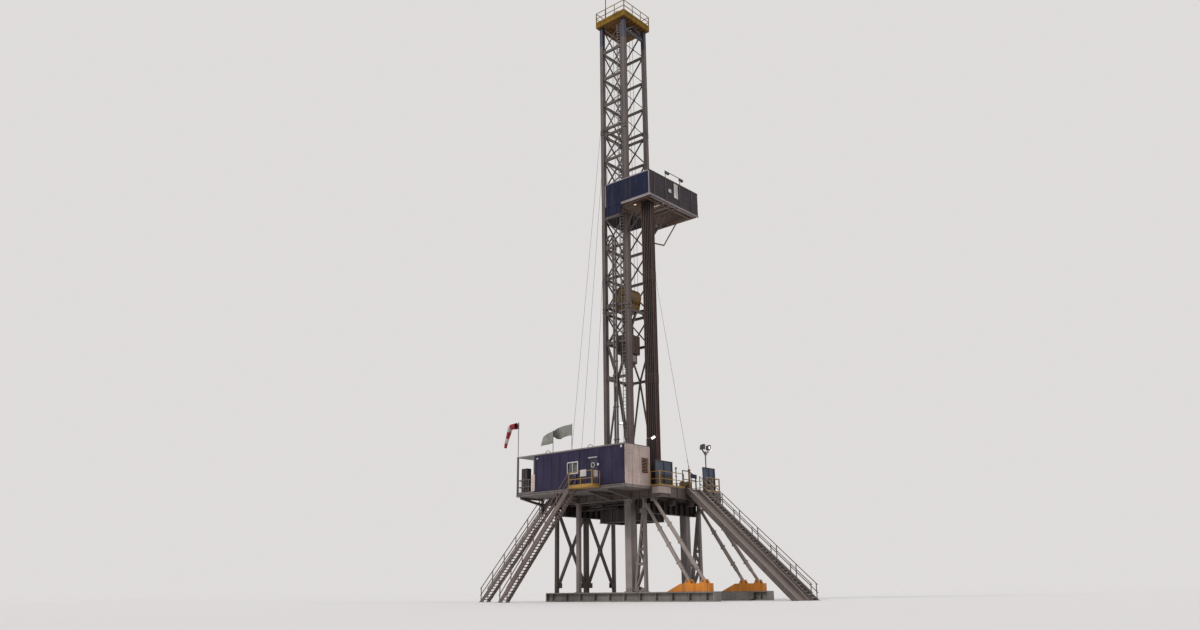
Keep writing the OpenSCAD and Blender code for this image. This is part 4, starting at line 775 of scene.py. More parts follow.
TREADS = 37
STEP = FLOOR_Z / (TREADS + 1)
SIDE_PLATE = 0.03
STAIRS = ((0.125, -1, 3.7, -3.925, -3.505), (-2.6, -1, 4.2, -1.985, -1.565), (3.0, 1, 4.6, 0.55, 0.97))
nosings, stair_feet, hangers = (bmesh.new() for i in range(3))
for top_x, way, run, y0, y1 in STAIRS:
    go = run / (TREADS + 1)
    for i in range(1, TREADS + 1):
        x, z = top_x + way * go * i, FLOOR_Z - i * STEP
        add_box(nosings, (x, y0 + 0.032, z - 0.03), (x - way * 0.012, y1 - 0.032, z + 0.003))
        for k in range(1, 4):
            slat = x - way * go * k / 4
            add_box(nosings, (slat - 0.004, y0 + 0.035, z), (slat + 0.004, y1 - 0.035, z + 0.003))
    foot_x = top_x + way * (run - 0.08)
    for y, s, edge in ((y0, -1, y0), (y1 - SIDE_PLATE, 1, y1)):
        add_box(stair_feet, (foot_x - 0.12, y - 0.03, 0), (foot_x + 0.12, y + 0.06, 0.015))
        for k in range(6):
            gone = 0.3 + (run - 0.6) * k / 5
            x, z = top_x + way * gone, FLOOR_Z - gone * FLOOR_Z / run - 0.06
            add_bolts(stair_feet, [(x, edge, z + 0.02), (x + 0.05, edge, z - 0.06)], (0, s, 0), 0.012, 0.01)
for x, z0, z1 in ((3.25, 3.26, 3.95), (3.74, 3.22, 3.50)):
    add_box(hangers, (x - 0.02, 0.97, z0), (x + 0.02, 1.0, z1))
piece("stair_nosings", nosings, nosing_pale)
piece("stair_fittings", stair_feet, stair_grey)
piece("stair_hangers", hangers, near_black)

# Pipe ramp
# A chute of two deep side beams with a worn plate between, stiffened by cross bars below. Grey
# paint, chipped and dusty; the cross bars and the side ribs are welded on.
ramp_grey = old_paint("ramp_grey", (0.105, 0.078, 0.071), chips=0.35, runs=0.35, dusting=0.4)
dress(ramp_grey, "pipe_ramp")

RAMP_HEAD, RAMP_FOOT = Vector((2.8, 0, 4.335)), Vector((7.75, 0, -0.28))
ramp_way = (RAMP_FOOT - RAMP_HEAD).normalized()
ramp_up = ramp_way.cross(ACROSS)
ramp_ribs = bmesh.new()
for i in range(12):
    place = RAMP_HEAD + ramp_way * (0.55 + i * 0.47)
    middle = place - ramp_up * 0.075
    add_bar(ramp_ribs, middle - ACROSS * 0.31, middle + ACROSS * 0.31, 0.05, 0.05, over=ramp_up)
    for y in (-0.406, 0.406):
        side = place + ACROSS * y
        add_bar(ramp_ribs, side - ramp_up * 0.08, side + ramp_up * 0.08, 0.012, 0.012, over=ACROSS)
for y in (-0.408, 0.408):
    for rise in (-0.088, 0.088):
        edge = RAMP_HEAD + ACROSS * y + ramp_up * rise
        add_bar(ramp_ribs, edge + ramp_way * 0.32, edge + ramp_way * 6.1, 0.014, 0.014, over=ramp_up)
piece("ramp_ribs", ramp_ribs, ramp_grey)

# Mast
# Four welded legs in three sections, joined by lugs and pins at the joints, with bars between them
# bolted through gusset plates. Weathered grey-beige paint; the head of the legs is navy. The back and
# far bracing and their gussets take a darker copy of the paint as painted shade.
LEG_X, LEG_Y, LEG_HALF = 0.645, 0.735, 0.085
IN_X, IN_Y = LEG_X - LEG_HALF, LEG_Y - LEG_HALF
JOINT_1, JOINT_2, MID_PANEL, TOP_PANEL = 11.955, 20.451, 1.416, 1.375
CROWN_Z = 25.951
NAVY_FROM = 24.95
mast_grey = old_paint("mast_grey", (0.093, 0.069, 0.063), chips=0.25, runs=0.5, dusting=0.3)
brace_grey = old_paint("brace_grey", (0.066, 0.050, 0.046), chips=0.3, runs=0.5, dusting=0.3)
split_paint(mast_grey, 2, NAVY_FROM, above=(0.022, 0.024, 0.055))
split_paint(brace_grey, 2, NAVY_FROM, above=(0.03, 0.028, 0.04))
# A darker copy of the bracing paint for the back and far sides: painted shade.
brace_shaded = old_paint("brace_shaded", (0.05, 0.034, 0.03), chips=0.3, runs=0.5, dusting=0.3)
pipe_grey = old_paint("pipe_grey", (0.095, 0.075, 0.07), chips=0.3, runs=0.5, dusting=0.2)
ladder_pale = old_paint("ladder_pale", (0.15, 0.13, 0.125), chips=0.3, runs=0.3, dusting=0.3)
dress(mast_grey, "mast_legs")
dress(brace_grey, "mast_near_bracing", "mast_portal", "board_struts")
dress(brace_shaded, "mast_back_bracing", "mast_far_bracing")
dress(pipe_grey, "standpipes")
dress(ladder_pale, "mast_ladder")

GIRTS = [5.755, 8.955, 10.475, JOINT_1 - 0.155, JOINT_1 + 0.155, JOINT_2 - 0.155, JOINT_2 + 0.155]
GIRTS += [JOINT_1 + i * MID_PANEL for i in range(1, 6)] + [JOINT_2 + i * TOP_PANEL for i in range(1, 4)]
GUSSET, PLATE = 0.17, 0.008
GUSSET_BOLTS = [(inward, rise) for inward in (0.04, 0.12) for rise in (-0.03, 0.03)]
gussets, back_gussets, mast_bolts, leg_edges = (bmesh.new() for i in range(4))
for z in GIRTS:
    for s in (-1, 1):
        for out, target in ((-1, gussets), (1, back_gussets)):
            face, outer = out * (LEG_Y + 0.05), out * (LEG_Y + 0.05 + PLATE)
            if out < 0 < s:
                add_box(target, (IN_X - 0.05, face, z - 0.10), (IN_X, outer, z + 0.10))
                continue
            add_box(target, (s * IN_X, face, z - 0.10), (s * (IN_X - GUSSET), outer, z + 0.10))
            bolts = [(s * (IN_X - inward), outer, z + rise) for inward, rise in GUSSET_BOLTS]
            add_bolts(mast_bolts, bolts, (0, out, 0), 0.01, 0.01)
        face, outer = -LEG_X - 0.05, -LEG_X - 0.05 - PLATE
        add_box(back_gussets, (outer, s * IN_Y, z - 0.10), (face, s * (IN_Y - GUSSET), z + 0.10))
        bolts = [(outer, s * (IN_Y - inward), z + rise) for inward, rise in GUSSET_BOLTS]
        add_bolts(mast_bolts, bolts, (-1, 0, 0), 0.01, 0.01)
for base, panel, count in ((JOINT_1, MID_PANEL, 6), (JOINT_2, TOP_PANEL, 4)):
    for i in range(count):
        z = base + (i + 0.5) * panel
        add_box(gussets, (-0.05, -LEG_Y - 0.033, z - 0.06), (0.05, -LEG_Y - 0.025, z + 0.06))
        add_box(back_gussets, (-0.05, LEG_Y + 0.025, z - 0.06), (0.05, LEG_Y + 0.033, z + 0.06))
        add_box(back_gussets, (-LEG_X - 0.033, -0.05, z - 0.06), (-LEG_X - 0.025, 0.05, z + 0.06))

SPANS = ((4.20, JOINT_1 - 0.16), (JOINT_1 + 0.16, 15.94), (17.28, JOINT_2 - 0.16),
         (JOINT_2 + 0.16, CROWN_Z - 0.02))
LUG_BOLTS = [(across, rise) for across in (-0.055, 0, 0.055) for rise in (-0.03, 0.03)]
FOOT_BOLTS = [(across, back) for across in (-0.125, 0.125) for back in (-0.125, 0.125)]
for sx, sy in ((-1, -1), (-1, 1), (1, -1), (1, 1)):
    x, y = sx * LEG_X, sy * LEG_Y
    face_x, face_y = x + sx * LEG_HALF, y + sy * LEG_HALF
    for z0, z1 in SPANS:
        for u in (-1, 1):
            inner, outer = u * 0.067, u * LEG_HALF
            add_box(leg_edges, (x + outer, face_y, z0), (x + inner, face_y + sy * 0.007, z1))
            add_box(leg_edges, (face_x, y + outer, z0), (face_x + sx * 0.007, y + inner, z1))
    for z in (JOINT_1, JOINT_2):
        for k in (-1, 1):
            lug_z, lug_face = z + k * 0.075, face_y + sy * 0.022
            add_box(leg_edges, (x - LEG_HALF, face_y, lug_z - 0.055), (x + LEG_HALF, lug_face, lug_z + 0.055))
            pin = Vector((face_x + sx * 0.014, y, z + k * 0.08))
            add_tube(mast_bolts, (pin - ACROSS * 0.075, pin + ACROSS * 0.075), 0.022, 12)
            bolts = [(x + across, lug_face, lug_z + rise) for across, rise in LUG_BOLTS]
            add_bolts(mast_bolts, bolts, (0, sy, 0), 0.011, 0.012)
    add_bolts(mast_bolts, [(x + u, y + v, 4.195) for u, v in FOOT_BOLTS], (0, 0, 1), 0.014, 0.018)
    for z in (7.4, 13.4, 18.6, 22.6):
        add_box(leg_edges, (x - LEG_HALF, face_y, z - 0.01), (x + LEG_HALF, face_y + sy * 0.006, z + 0.01))
piece("mast_gussets", gussets, brace_grey)
piece("mast_rear_gussets", back_gussets, brace_shaded)
piece("mast_bolts", mast_bolts, bolt_steel)
piece("leg_flanges", leg_edges, mast_grey)

pipe_clamps, mast_lamps, lamp_cases = (bmesh.new() for i in range(3))
for i in range(8):
    z = 4.95 + i * 1.35
    add_box(pipe_clamps, (-0.17, -0.885, z), (0.08, -0.875, z + 0.05))
    for x in (-0.165, -0.045, 0.075):
        add_box(pipe_clamps, (x - 0.008, -0.88, z), (x + 0.008, -0.79, z + 0.05))
PIPE_Y = -0.8303
for x in (-0.11, 0.02):
    for low, high, radius in ((4.16, 4.20, 0.062), (9.6, 9.64, 0.062), (14.6, 14.64, 0.062),
                              (5.22, 5.40, 0.060)):
        add_tube(pipe_clamps, ((x, PIPE_Y, low), (x, PIPE_Y, high)), radius, 16)
for z in [g for g in GIRTS if g > 6]:
    for x in (0.302, 0.50):
        add_box(pipe_clamps, (x, -0.79, z - 0.02), (x + 0.02, -0.784, z + 0.02))
for place, tilt in (((0.735, 0.70, 6.54), 0.45), ((0.20, -0.845, 6.99), 0.3)):
    middle = Vector(place)
    way = Vector((0.75, -0.6, -tilt)).normalized()
    add_bar(lamp_cases, middle, middle + way * 0.07, 0.15, 0.085)
    add_bar(mast_lamps, middle + way * 0.07, middle + way * 0.076, 0.135, 0.07)
    add_bar(lamp_cases, middle - Vector((0, 0, 0.1)), middle, 0.02)
add_bar(lamp_cases, (0.06, -0.845, 6.93), (0.21, -0.845, 6.93), 0.02)
piece("pipe_clamps", pipe_clamps, pipe_grey)
piece("mast_lamps", mast_lamps, lamp_bright)
piece("mast_lamp_cases", lamp_cases, lamp_black)

# Crown
# A plated yellow frame on the legs with ribs, and a dark brown sheet and beams under it whose colour
# is painted shade. The sheaves sit between bolted bearing stands, and bars over them keep the lines
# in their grooves. A lamp is on the pole.
crown_yellow = old_paint("crown_yellow", (0.20, 0.112, 0.008), chips=0.12, runs=0.45, dusting=0.05,
                         gloss=0.12)
# The underside's dark brown is painted shade below the yellow frame.
soffit_shade = old_paint("soffit_shade", (0.13, 0.056, 0.010), chips=0.4, runs=0.5, dusting=0.1, gloss=0.12)
sheave_iron = old_paint("sheave_iron", (0.07, 0.055, 0.05), chips=0.4, runs=0.5, dusting=0.2)
lamp_red = lamp_glass("lamp_red", (0.6, 0.03, 0.025), 0.3)
dress(crown_yellow, "crown_frame", "crown_rails")
dress(sheave_iron, "crown_sheaves")
CROWN_X, CROWN_Y, CROWN_TOP, CROWN_AXLE = 0.86, 0.95, 26.211, 26.371
RIB_LOW, RIB_TOP = CROWN_Z + 0.03, CROWN_TOP - 0.03
UNDERSIDE = CROWN_Z - 0.01
KEEPER_REACH = 0.352
STAND_BOLTS = [(across, back) for across in (-0.03, 0.03) for back in (-0.02, 0.02)]
crown_ribs, soffit, keepers, crown_lamps = (bmesh.new() for i in range(4))
add_box(soffit, (-0.27, -0.38, UNDERSIDE), (0.27, 0.38, CROWN_Z))
for s in (-1, 1):
    for i in range(5):
        x, y = -0.6 + i * 0.3, -0.68 + i * 0.34
        add_box(crown_ribs, (x - 0.008, s * (CROWN_Y - 0.015), RIB_LOW), (x + 0.008, s * CROWN_Y, RIB_TOP))
        add_box(crown_ribs, (s * (CROWN_X - 0.015), y - 0.008, RIB_LOW), (s * CROWN_X, y + 0.008, RIB_TOP))
    add_box(soffit, (s * 0.35, -0.935, UNDERSIDE), (s * 0.845, 0.935, CROWN_Z))
    add_box(soffit, (-0.35, s * 0.38, UNDERSIDE), (0.35, s * 0.935, CROWN_Z))
    for i in range(5):
        y = -0.45 + i * 0.225
        add_box(soffit, (s * 0.37, y - 0.02, UNDERSIDE - 0.05), (s * 0.83, y + 0.02, UNDERSIDE))
    add_box(soffit, (s * 0.36, -0.55, UNDERSIDE - 0.06), (s * 0.385, 0.55, UNDERSIDE))
    for x in (-0.37, 0.37):
        bolts = [(x + across, s * 0.525 + back, CROWN_TOP + 0.07) for across, back in STAND_BOLTS]
        add_bolts(keepers, bolts, (0, 0, 1), 0.012)
    add_tube(keepers, ((0, s * 0.51, CROWN_AXLE), (0, s * 0.535, CROWN_AXLE)), 0.075, 20)
for x, y, z in circle(0, -0.50, CROWN_AXLE, KEEPER_REACH, (35, 90, 145)):
    add_tube(keepers, ((x, y, z), (x, -y, z)), 0.011, 8)
for s in (-1, 1):
    add_tube(keepers, circle(0, s * 0.50, CROWN_AXLE, KEEPER_REACH, range(-10, 195, 17)), 0.012, 8)
    add_tube(keepers, ((s * 0.4, -0.55, CROWN_TOP + 0.012), (s * 0.4, 0.55, CROWN_TOP + 0.012)), 0.012, 8)
add_tube(crown_lamps, ((-0.41, -0.75, 27.85), (-0.41, -0.75, 27.90)), 0.032, 12)
piece("crown_ribs", crown_ribs, crown_yellow)
piece("crown_soffit", soffit, soffit_shade)
piece("line_keepers", keepers, sheave_iron, smooth=True)
piece("crown_lamp", crown_lamps, lamp_red, smooth=True)

# Racking board
# A brown framed deck with fingers for the pipe, boxed in by navy panels with pale corner trims and
# upright posts; the wall parts past the near wall are dark grey, which is painted shade. A warm lamp
# is fixed below the board, and a lamp bracket stands on the front wall.
board_navy_and_shade = old_paint("board_navy_and_shade", (0.007, 0.011, 0.036), chips=0.12, runs=0.3, dusting=0.1, gloss=0.12)
board_front = old_paint("board_front", (0.040, 0.035, 0.044), chips=0.2, runs=0.45, dusting=0.1, gloss=0.12)
board_brown = old_paint("board_brown", (0.14, 0.090, 0.066), chips=0.4, runs=0.5, dusting=0.2)
trim_grey = old_paint("trim_grey", (0.24, 0.20, 0.21), chips=0.2, runs=0.3, dusting=0.1)
lamp_warm = lamp_glass("lamp_warm", (1.0, 0.62, 0.30), 0.8)
BOARD_LOW, BOARD_MIDDLE, BOARD_TOP = 16.165, 16.66, 17.26
BOARD_BACK, BOARD_FRONT, BOARD_Y = 0.245, 2.67, 1.725
BOX_FRONT, BOX_LOW = 1.145, 15.765
BAND, POST = 0.05, 0.035
POSTS_Y = (-1.43, -0.63, 0.36, 1.26)
# The wall parts past the near wall, beyond y -1.69, get dark grey: painted shade.
split_paint(board_navy_and_shade, 1, -1.69, above=(0.030, 0.027, 0.030))
dress(board_navy_and_shade, "board_walls")
dress(board_brown, "board_deck", "board_fingers")

board_panels, board_posts, board_trims, board_beams = (bmesh.new() for i in range(4))
front_sheets, white_sheets = bmesh.new(), bmesh.new()
for y in POSTS_Y:
    add_box(board_posts, (BOARD_FRONT, y - POST, BOARD_LOW), (BOARD_FRONT + 0.03, y + POST, BOARD_TOP))
for z in (BOARD_LOW, BOARD_MIDDLE, BOARD_TOP - BAND):
    add_box(board_posts, (BOARD_FRONT, -BOARD_Y, z), (BOARD_FRONT + 0.02, BOARD_Y, z + BAND))
edges = [-BOARD_Y] + [y + s * POST for y in POSTS_Y for s in (-1, 1)] + [BOARD_Y]
for y0, y1 in zip(edges[::2], edges[1::2]):
    add_box(front_sheets, (BOARD_FRONT, y0, BOARD_LOW + BAND), (BOARD_FRONT + 0.008, y1, BOARD_MIDDLE))
    add_box(front_sheets, (BOARD_FRONT, y0, BOARD_MIDDLE + BAND), (BOARD_FRONT + 0.008, y1, BOARD_TOP - BAND))
add_box(white_sheets, (BOARD_FRONT + 0.02, -0.05, 16.50), (BOARD_FRONT + 0.03, 0.23, 17.17))
add_box(white_sheets, (BOARD_FRONT + 0.02, -0.43, 16.64), (BOARD_FRONT + 0.03, -0.24, 16.80))
for s in (-1, 1):
    wall, outer = s * BOARD_Y, s * (BOARD_Y + 0.01)
    for x in (BOARD_BACK, BOARD_FRONT - BAND):
        add_box(board_trims, (x, wall, BOARD_LOW), (x + BAND, outer, BOARD_TOP))
    for x in (0.85, 1.45, 2.05) if s > 0 else ():
        add_box(board_panels, (x, wall, BOARD_LOW), (x + BAND, outer, BOARD_TOP))
    add_box(board_trims, (BOARD_BACK, wall, BOARD_TOP - 0.045), (BOARD_FRONT, outer, BOARD_TOP))
    add_box(board_panels, (BOARD_BACK, wall, BOARD_LOW), (BOARD_FRONT, outer, BOARD_LOW + 0.045))
    for x, y, deep in ((BOARD_BACK, s * 1.60, 0.07), (0.80, s * 0.20, 0.06)):
        add_box(board_beams, (x, y - 0.03, BOARD_LOW - deep), (BOARD_FRONT - 0.03, y + 0.03, BOARD_LOW))
add_bar(board_beams, (1.58, 1.62, BOARD_LOW), (1.25, 1.05, 14.99), 0.05)
add_bar(board_beams, (1.25, 1.05, 15.005), (0.725, 0.78, 15.20), 0.05)
add_bar(board_beams, (1.54, -1.23, BOARD_LOW), (0.725, -0.79, 15.55), 0.04)
for x in (0.80, 2.30):
    add_box(board_beams, (x, -1.57, BOARD_LOW - 0.06), (x + 0.05, 1.57, BOARD_LOW))
add_box(board_trims, (2.56, -1.57, BOARD_LOW - 0.06), (2.62, 1.57, BOARD_LOW))
add_box(board_trims, (BOX_FRONT, -1.745, BOARD_LOW - 0.06), (2.70, -1.715, BOARD_LOW + 0.045))
add_box(board_trims, (2.67, -1.715, BOARD_LOW - 0.05), (2.70, 1.725, BOARD_LOW + 0.02))
for x in (BOARD_BACK, BOX_FRONT - 0.04):
    add_box(board_panels, (x, -BOARD_Y - 0.01, BOX_LOW), (x + 0.04, -BOARD_Y, BOARD_LOW))
add_box(board_panels, (BOARD_BACK, -BOARD_Y - 0.01, BOX_LOW), (BOX_FRONT, -BOARD_Y, BOX_LOW + 0.035))
piece("board_panels", board_panels, board_navy_and_shade)
piece("board_posts", board_posts, near_black)
piece("board_front_sheets", front_sheets, board_front)
piece("board_white_sheets", white_sheets, trim_white)
piece("board_trims", board_trims, trim_grey)
piece("board_beams", board_beams, board_brown)

ARM_X, ARM_Z = BOARD_FRONT + 0.015, 17.55
board_arm, board_glow = bmesh.new(), bmesh.new()
for y in (-0.62, 0.42):
    add_tube(board_arm, ((ARM_X, y, 17.10), (ARM_X, y, ARM_Z)), 0.014, 8)
add_tube(board_arm, ((ARM_X, -0.66, ARM_Z), (ARM_X, 0.62, ARM_Z)), 0.016, 8)
for y in (-0.5, 0.5):
    add_box(board_arm, (BOARD_FRONT - 0.02, y - 0.12, 17.44), (BOARD_FRONT + 0.06, y + 0.12, 17.54))
add_box(board_arm, (1.49, -1.35, BOARD_LOW - 0.05), (1.61, -1.25, BOARD_LOW))
add_box(board_glow, (1.50, -1.34, BOARD_LOW - 0.058), (1.60, -1.26, BOARD_LOW - 0.05))
piece("board_lamp_arm", board_arm, lamp_black, smooth=True)
piece("board_glow", board_glow, lamp_warm)

# Racked and hanging pipe
# Stands of drill pipe lean in the board's fingers, dark with rust, no two quite alike. The joint
# in the top drive is the same pipe, greased.
RACK_X, RACK_Y, PITCH = 2.0543, -1.1, 0.092


def make_pipe_rust():
    """Rust that differs from one stand of pipe to the next"""
    made, tree, shader = surface("racked_rust", metallic=0.2)
    place = node(tree, "TexCoord").outputs["Object"]
    corner = (RACK_X - 3 * PITCH, RACK_Y - 1.5 * PITCH, 0)
    moved = node(tree, "VectorMath", {0: place, 1: corner}, operation="SUBTRACT")
    per_pipe = {0: moved.outputs[0], 1: (1 / PITCH, 1 / PITCH, 0)}
    cells = node(tree, "VectorMath", per_pipe, operation="MULTIPLY")
    cell = node(tree, "VectorMath", {0: cells.outputs[0]}, operation="FLOOR")
    chance = node(tree, "TexWhiteNoise", {0: cell.outputs[0]}, noise_dimensions="3D").outputs[0]
    long_place = node(tree, "VectorMath", {0: place, 1: (1, 1, 0.06)}, operation="MULTIPLY").outputs[0]
    streak = ramped(tree, cloudy(tree, long_place, 40, 3, 0.6), 0.35, 0.7)
    blotch = ramped(tree, cloudy(tree, place, 9, 5, 0.7), 0.4, 0.65)
    own = mixed(tree, ramped(tree, chance, 0.25, 0.95), (0.018, 0.009, 0.006, 1), (0.085, 0.028, 0.015, 1))
    worn = mixed(tree, times(tree, streak, 0.4), own, (0.062, 0.052, 0.049, 1))
    stained = mixed(tree, times(tree, blotch, 0.45), worn, (0.02, 0.013, 0.011, 1))
    tree.links.new(stained, shader.inputs["Base Color"])
    shader.inputs["Roughness"].default_value = 0.55
    return made


hanging_rust = old_paint("hanging_rust", (0.05, 0.034, 0.028), chips=0.6, runs=0.7, dusting=0.1, fineness=3.0)
dress(make_pipe_rust(), "racked_pipe")
dress(hanging_rust, "drill_pipe")
hang_joint = bmesh.new()
for low, high, radius in ((4.405, 4.60, 0.046), (6.80, 7.05, 0.043)):
    add_tube(hang_joint, ((0, 0, low), (0, 0, high)), radius, 24)
piece("pipe_joints", hang_joint, hanging_rust, "drill_string", smooth=True)

# Lines
# Steel wire ropes, dark with oil: eight lines reeved between crown and block over grooved sheaves, and
# thin tail lines from the mast to the floor with thimbles and clips at their feet.
rope_black = old_paint("rope_black", (0.045, 0.04, 0.038), chips=0.3, runs=0.3, dusting=0.1, fineness=3.0)
dress(rope_black, "tail_lines")
LINE_X, LINE_R, BLOCK_AXLE = 0.3093, 0.009, 12.605
reeving = bmesh.new()
for y in (-0.33, -0.11, 0.11, 0.33):
    over = circle(0, y, CROWN_AXLE, LINE_X, range(0, 181, 12))
    under = circle(0, y, BLOCK_AXLE, -LINE_X, range(0, 181, 12))
    add_tube(reeving, over + under, LINE_R, 8, closed=True)
bmesh.ops.recalc_face_normals(reeving, faces=reeving.faces)
reeving_mesh = bpy.data.meshes.new("reeving")
reeving.to_mesh(reeving_mesh)
reeving.free()
reeving_mesh.materials.append(rope_grey)
reeving_mesh.shade_smooth()
reeving_piece = bpy.data.objects.new("reeving", reeving_mesh)
bpy.context.scene.collection.objects.link(reeving_piece)
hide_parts("drilling_lines")
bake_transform(reeving_piece)

TAILS = (((-0.7013, -0.33, 24.576), (-2.54, -1.1, 4.158)), ((-0.7013, -0.135, 24.576), (-2.54, -0.45, 4.158)),
         ((-0.7013, 0.12, 24.576), (-2.54, 0.4, 4.158)), ((0.7363, 0.735, 14.965), (2.52, 0.56, 5.031)))
clips = bmesh.new()
for head, foot in TAILS:
    head, foot = Vector(head), Vector(foot)
    way = (head - foot).normalized()
    for k in (0.18, 0.26, 0.34):
        add_bar(clips, foot + way * k, foot + way * (k + 0.025), 0.035, 0.025)
    add_tube(clips, (foot + way * 0.02, foot + way * 0.12), 0.018, 10)
piece("line_clips", clips, bolt_steel)

# Travelling block and top drive
# The block is five yellow cheeks with four sheaves between, bolted through; below hangs the top
# drive on its bail, a dark tan motor housing with ribbed covers and bolted doors.
block_yellow = old_paint("block_yellow", (0.14, 0.070, 0.005), chips=0.45, runs=0.6, dusting=0.2)
drive_tan = old_paint("drive_tan", (0.045, 0.021, 0.011), chips=0.35, runs=0.6, dusting=0.2)
dress(block_yellow, "travelling_block")
dress(drive_tan, "top_drive")
CHEEK_Y, DOOR_X, RIB_Y, BAIL_Z = 0.46, 0.342, 0.42, 9.64
block_bolts, drive_parts, drive_pale = (bmesh.new() for i in range(3))
for s in (-1, 1):
    face = s * CHEEK_Y
    add_bolts(block_bolts, circle(0, face, BLOCK_AXLE, 0.33, range(0, 360, 30)), (0, s, 0), 0.013, 0.014)
    bolts = [(x, face, BLOCK_AXLE - fall) for x in (-0.15, 0, 0.15) for fall in (0.48, 0.58)]
    add_bolts(block_bolts, bolts, (0, s, 0), 0.018, 0.02)
    add_tube(block_bolts, ((0, face, BLOCK_AXLE), (0, face + s * 0.03, BLOCK_AXLE)), 0.09, 24)
    add_tube(block_bolts, ((0, face, BLOCK_AXLE), (0, face + s * 0.045, BLOCK_AXLE)), 0.045, 6)
    for y in (-0.19, 0.19):
        add_box(drive_parts, (s * 0.33, y - 0.15, 10.12), (s * DOOR_X, y + 0.15, 10.76))
        bolts = [(s * DOOR_X, y + side, z) for side in (-0.13, 0.13) for z in (10.14, 10.44, 10.74)]
        add_bolts(drive_parts, bolts, (s, 0, 0), 0.009, 0.008)
    y0, y1 = s * RIB_Y, s * (RIB_Y + 0.015)
    for i in range(8):
        add_box(drive_parts, (-0.22, y0, 10.17 + i * 0.07), (0.22, y1, 10.20 + i * 0.07))
    add_box(drive_parts, (-0.26, y0, 10.10), (-0.235, y1, 10.80))
    add_box(drive_parts, (0.235, y0, 10.10), (0.26, y1, 10.80))
    add_box(drive_pale, (s * 0.25, -0.16, 9.72), (s * 0.262, 0.16, 9.98))
    add_tube(drive_pale, ((0, s * 0.29, 9.55), (0, s * 0.29, BAIL_Z)), 0.03, 12)
bolts = [(0.21 * cos(radians(a)), 0.21 * sin(radians(a)), BAIL_Z) for a in range(0, 360, 45)]
add_bolts(block_bolts, bolts, (0, 0, 1), 0.012)
piece("block_bolts", block_bolts, block_yellow, "hoist")
piece("drive_covers", drive_parts, drive_tan, "hoist")
piece("drive_plates", drive_pale, trim_grey, "hoist")

# Flags and windsock
# Two pale flags hang from poles on the cabin's roof, and a red sleeve with two white bands droops
# from a ring on the porch pole. Thin woven cloth, laced to the poles and the ring.


def woven(name, colour, shade):
    """Thin cloth with a weave and a little unevenness"""
    made, tree, shader = surface(name)
    place = node(tree, "TexCoord").outputs["Object"]
    uneven = ramped(tree, cloudy(tree, place, 5.0, 4), 0.3, 0.7)
    tree.links.new(mixed(tree, uneven, (*shade, 1), (*colour, 1)), shader.inputs["Base Color"])
    shader.inputs["Roughness"].default_value = 0.9
    threads = node(tree, "TexNoise", {"Vector": place, "Scale": 300.0, "Detail": 2.0}).outputs[0]
    grain = node(tree, "Bump", {"Height": threads, "Strength": 0.3, "Distance": 0.002})
    tree.links.new(grain.outputs[0], shader.inputs["Normal"])
    return made


flag_green = woven("flag_green", (0.27, 0.265, 0.24), (0.18, 0.18, 0.162))
sock_red = woven("sock_red", (0.36, 0.022, 0.022), (0.25, 0.014, 0.015))
sock_white = woven("sock_white", (0.48, 0.43, 0.42), (0.36, 0.32, 0.31))


def add_flag(bm, start, pole_y, top, width, height, droop, waves, furl):
    """A flag that flies from its pole towards -X, sags, and turns its lower edge inwards by furl"""
    columns, rows = 48, 18
    grid = []
    for i in range(columns + 1):
        t = i / columns
        line = []
        lift = furl * t * t
        for j in range(rows + 1):
            v = j / rows
            side = 0.05 * t * sin(waves * 2 * pi * t + 0.9 * v) + 0.028 * t * sin(5.1 * pi * t + 2.2 * v + 1)
            side += v * height * sin(lift)
            fall = droop * t * t + v * height * cos(lift) + 0.012 * t * sin(4.4 * pi * t + v)
            x = start - t * width * (1 - 0.035 * t - 0.03 * v * t)
            line.append(bm.verts.new((x, pole_y + side, top - fall)))
        grid.append(line)
    for i in range(columns):
        for j in range(rows):
            bm.faces.new((grid[i][j], grid[i + 1][j], grid[i + 1][j + 1], grid[i][j + 1]))


POLE_R, LACE_R = 0.0133, 0.016
FLAGS = (("big_flag", -0.75, -2.775, 6.802, 1.35, 0.46, 0.22, 1.6, 1.2),
         ("small_flag", -1.65, -2.915, 6.60, 0.50, 0.50, 0.16, 0.8, -0.5))
lacing = bmesh.new()
for name, pole_x, pole_y, top, width, height, droop, waves, furl in FLAGS:
    cloth = bmesh.new()
    add_flag(cloth, pole_x - POLE_R, pole_y, top, width * 0.96, height * 0.97, droop, waves, furl)
    piece(name, cloth, flag_green, smooth=True)
    for v in (0.03, 0.5, 0.93):
        loop = [(pole_x + LACE_R * cos(radians(a)), pole_y + LACE_R * sin(radians(a)), top - v * height)
                for a in range(0, 360, 30)]
        add_tube(lacing, loop, 0.003, 6, closed=True)
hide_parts("flags")
piece("flag_lacing", lacing, rope_grey)

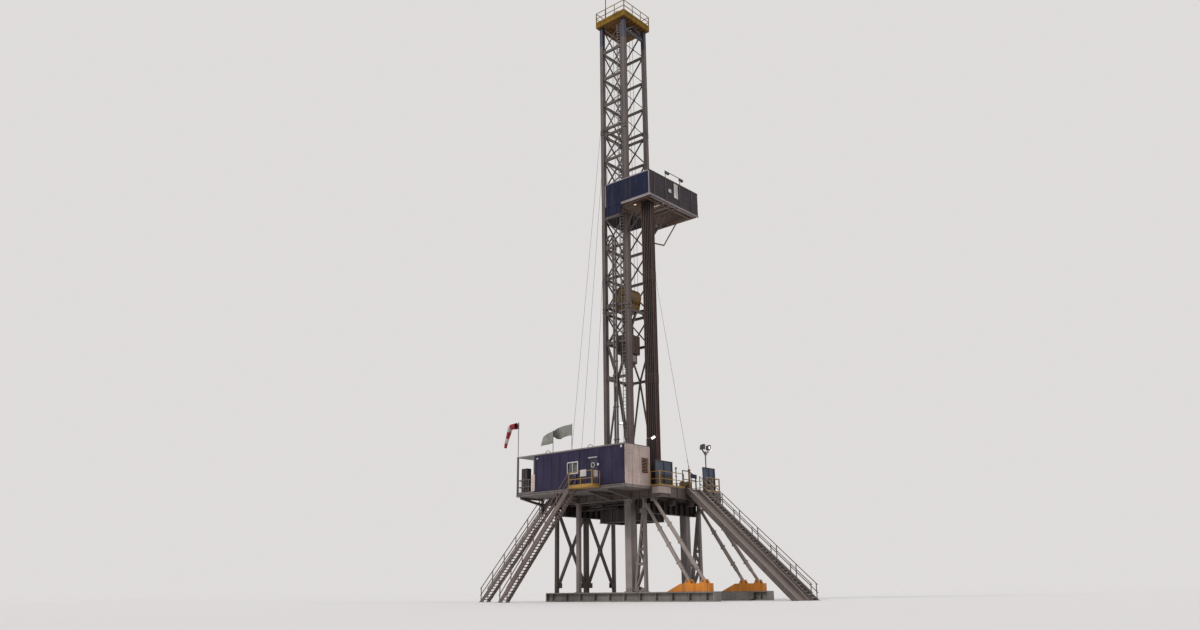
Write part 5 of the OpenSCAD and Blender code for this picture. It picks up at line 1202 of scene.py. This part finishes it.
SOCK_X, SOCK_Y, SOCK_Z = -3.105, -3.445, 6.935
MOUTH_X, MOUTH_R, TAPER = SOCK_X - 0.14, 0.125, 0.063
SLEEVE, LEVEL, DROOP = 1.20, 0.20, 1.24
STEPS, AROUND = 60, 28
place, way = Vector((MOUTH_X, SOCK_Y, SOCK_Z)), Vector((-1, 0, 0))
spine = [(place, way)]
for i in range(STEPS):
    bend = min(1, max(0, ((i + 0.5) / STEPS * SLEEVE - LEVEL) / 0.26))
    angle = DROOP * bend * bend * (3 - 2 * bend)
    way = Vector((-cos(angle), 0, -sin(angle)))
    place = place + way * (SLEEVE / STEPS)
    spine.append((place, way))
sleeve = bmesh.new()
rings = []
for i, (middle, way) in enumerate(spine):
    s = i / STEPS
    radius = MOUTH_R - TAPER * s
    rise = ACROSS.cross(way)
    slack = min(1, max(0, (s - 0.25) / 0.3))
    flat = 1 - 0.18 * slack
    ring = []
    for k in range(AROUND):
        a = 2 * pi * k / AROUND
        fold = 1 + slack * (0.07 * sin(3 * a + 9 * s) + 0.05 * sin(5 * a - 14 * s)) + 0.015 * sin(4 * a)
        reach = radius * fold
        ring.append(sleeve.verts.new(middle + ACROSS * cos(a) * reach + rise * sin(a) * reach * flat))
    rings.append(ring)
for i in range(STEPS):
    band = i / STEPS
    white = 0.24 < band < 0.42 or 0.66 < band < 0.82
    for k in range(AROUND):
        m = (k + 1) % AROUND
        face = sleeve.faces.new((rings[i][k], rings[i + 1][k], rings[i + 1][m], rings[i][m]))
        face.material_index = 1 if white else 0
sock = piece("wind_sleeve", sleeve, sock_red, "windsock", smooth=True)
sock.data.materials.append(sock_white)
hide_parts("windsock")
HOOP_R = MOUTH_R + 0.002
swivel = bmesh.new()
add_tube(swivel, ((SOCK_X, SOCK_Y, SOCK_Z - 0.13), (SOCK_X, SOCK_Y, SOCK_Z + 0.13)), 0.024, 16)
turns = [2 * pi * k / AROUND for k in range(AROUND)]
mouth = [(MOUTH_X, SOCK_Y + HOOP_R * cos(a), SOCK_Z + HOOP_R * sin(a)) for a in turns]
add_tube(swivel, mouth, 0.006, 6, closed=True)
for s in (-1, 1):
    add_bar(swivel, (SOCK_X, SOCK_Y, SOCK_Z + s * 0.12), (MOUTH_X, SOCK_Y, SOCK_Z + s * HOOP_R), 0.01)
piece("sleeve_swivel", swivel, rail_grey, "windsock", smooth=True)
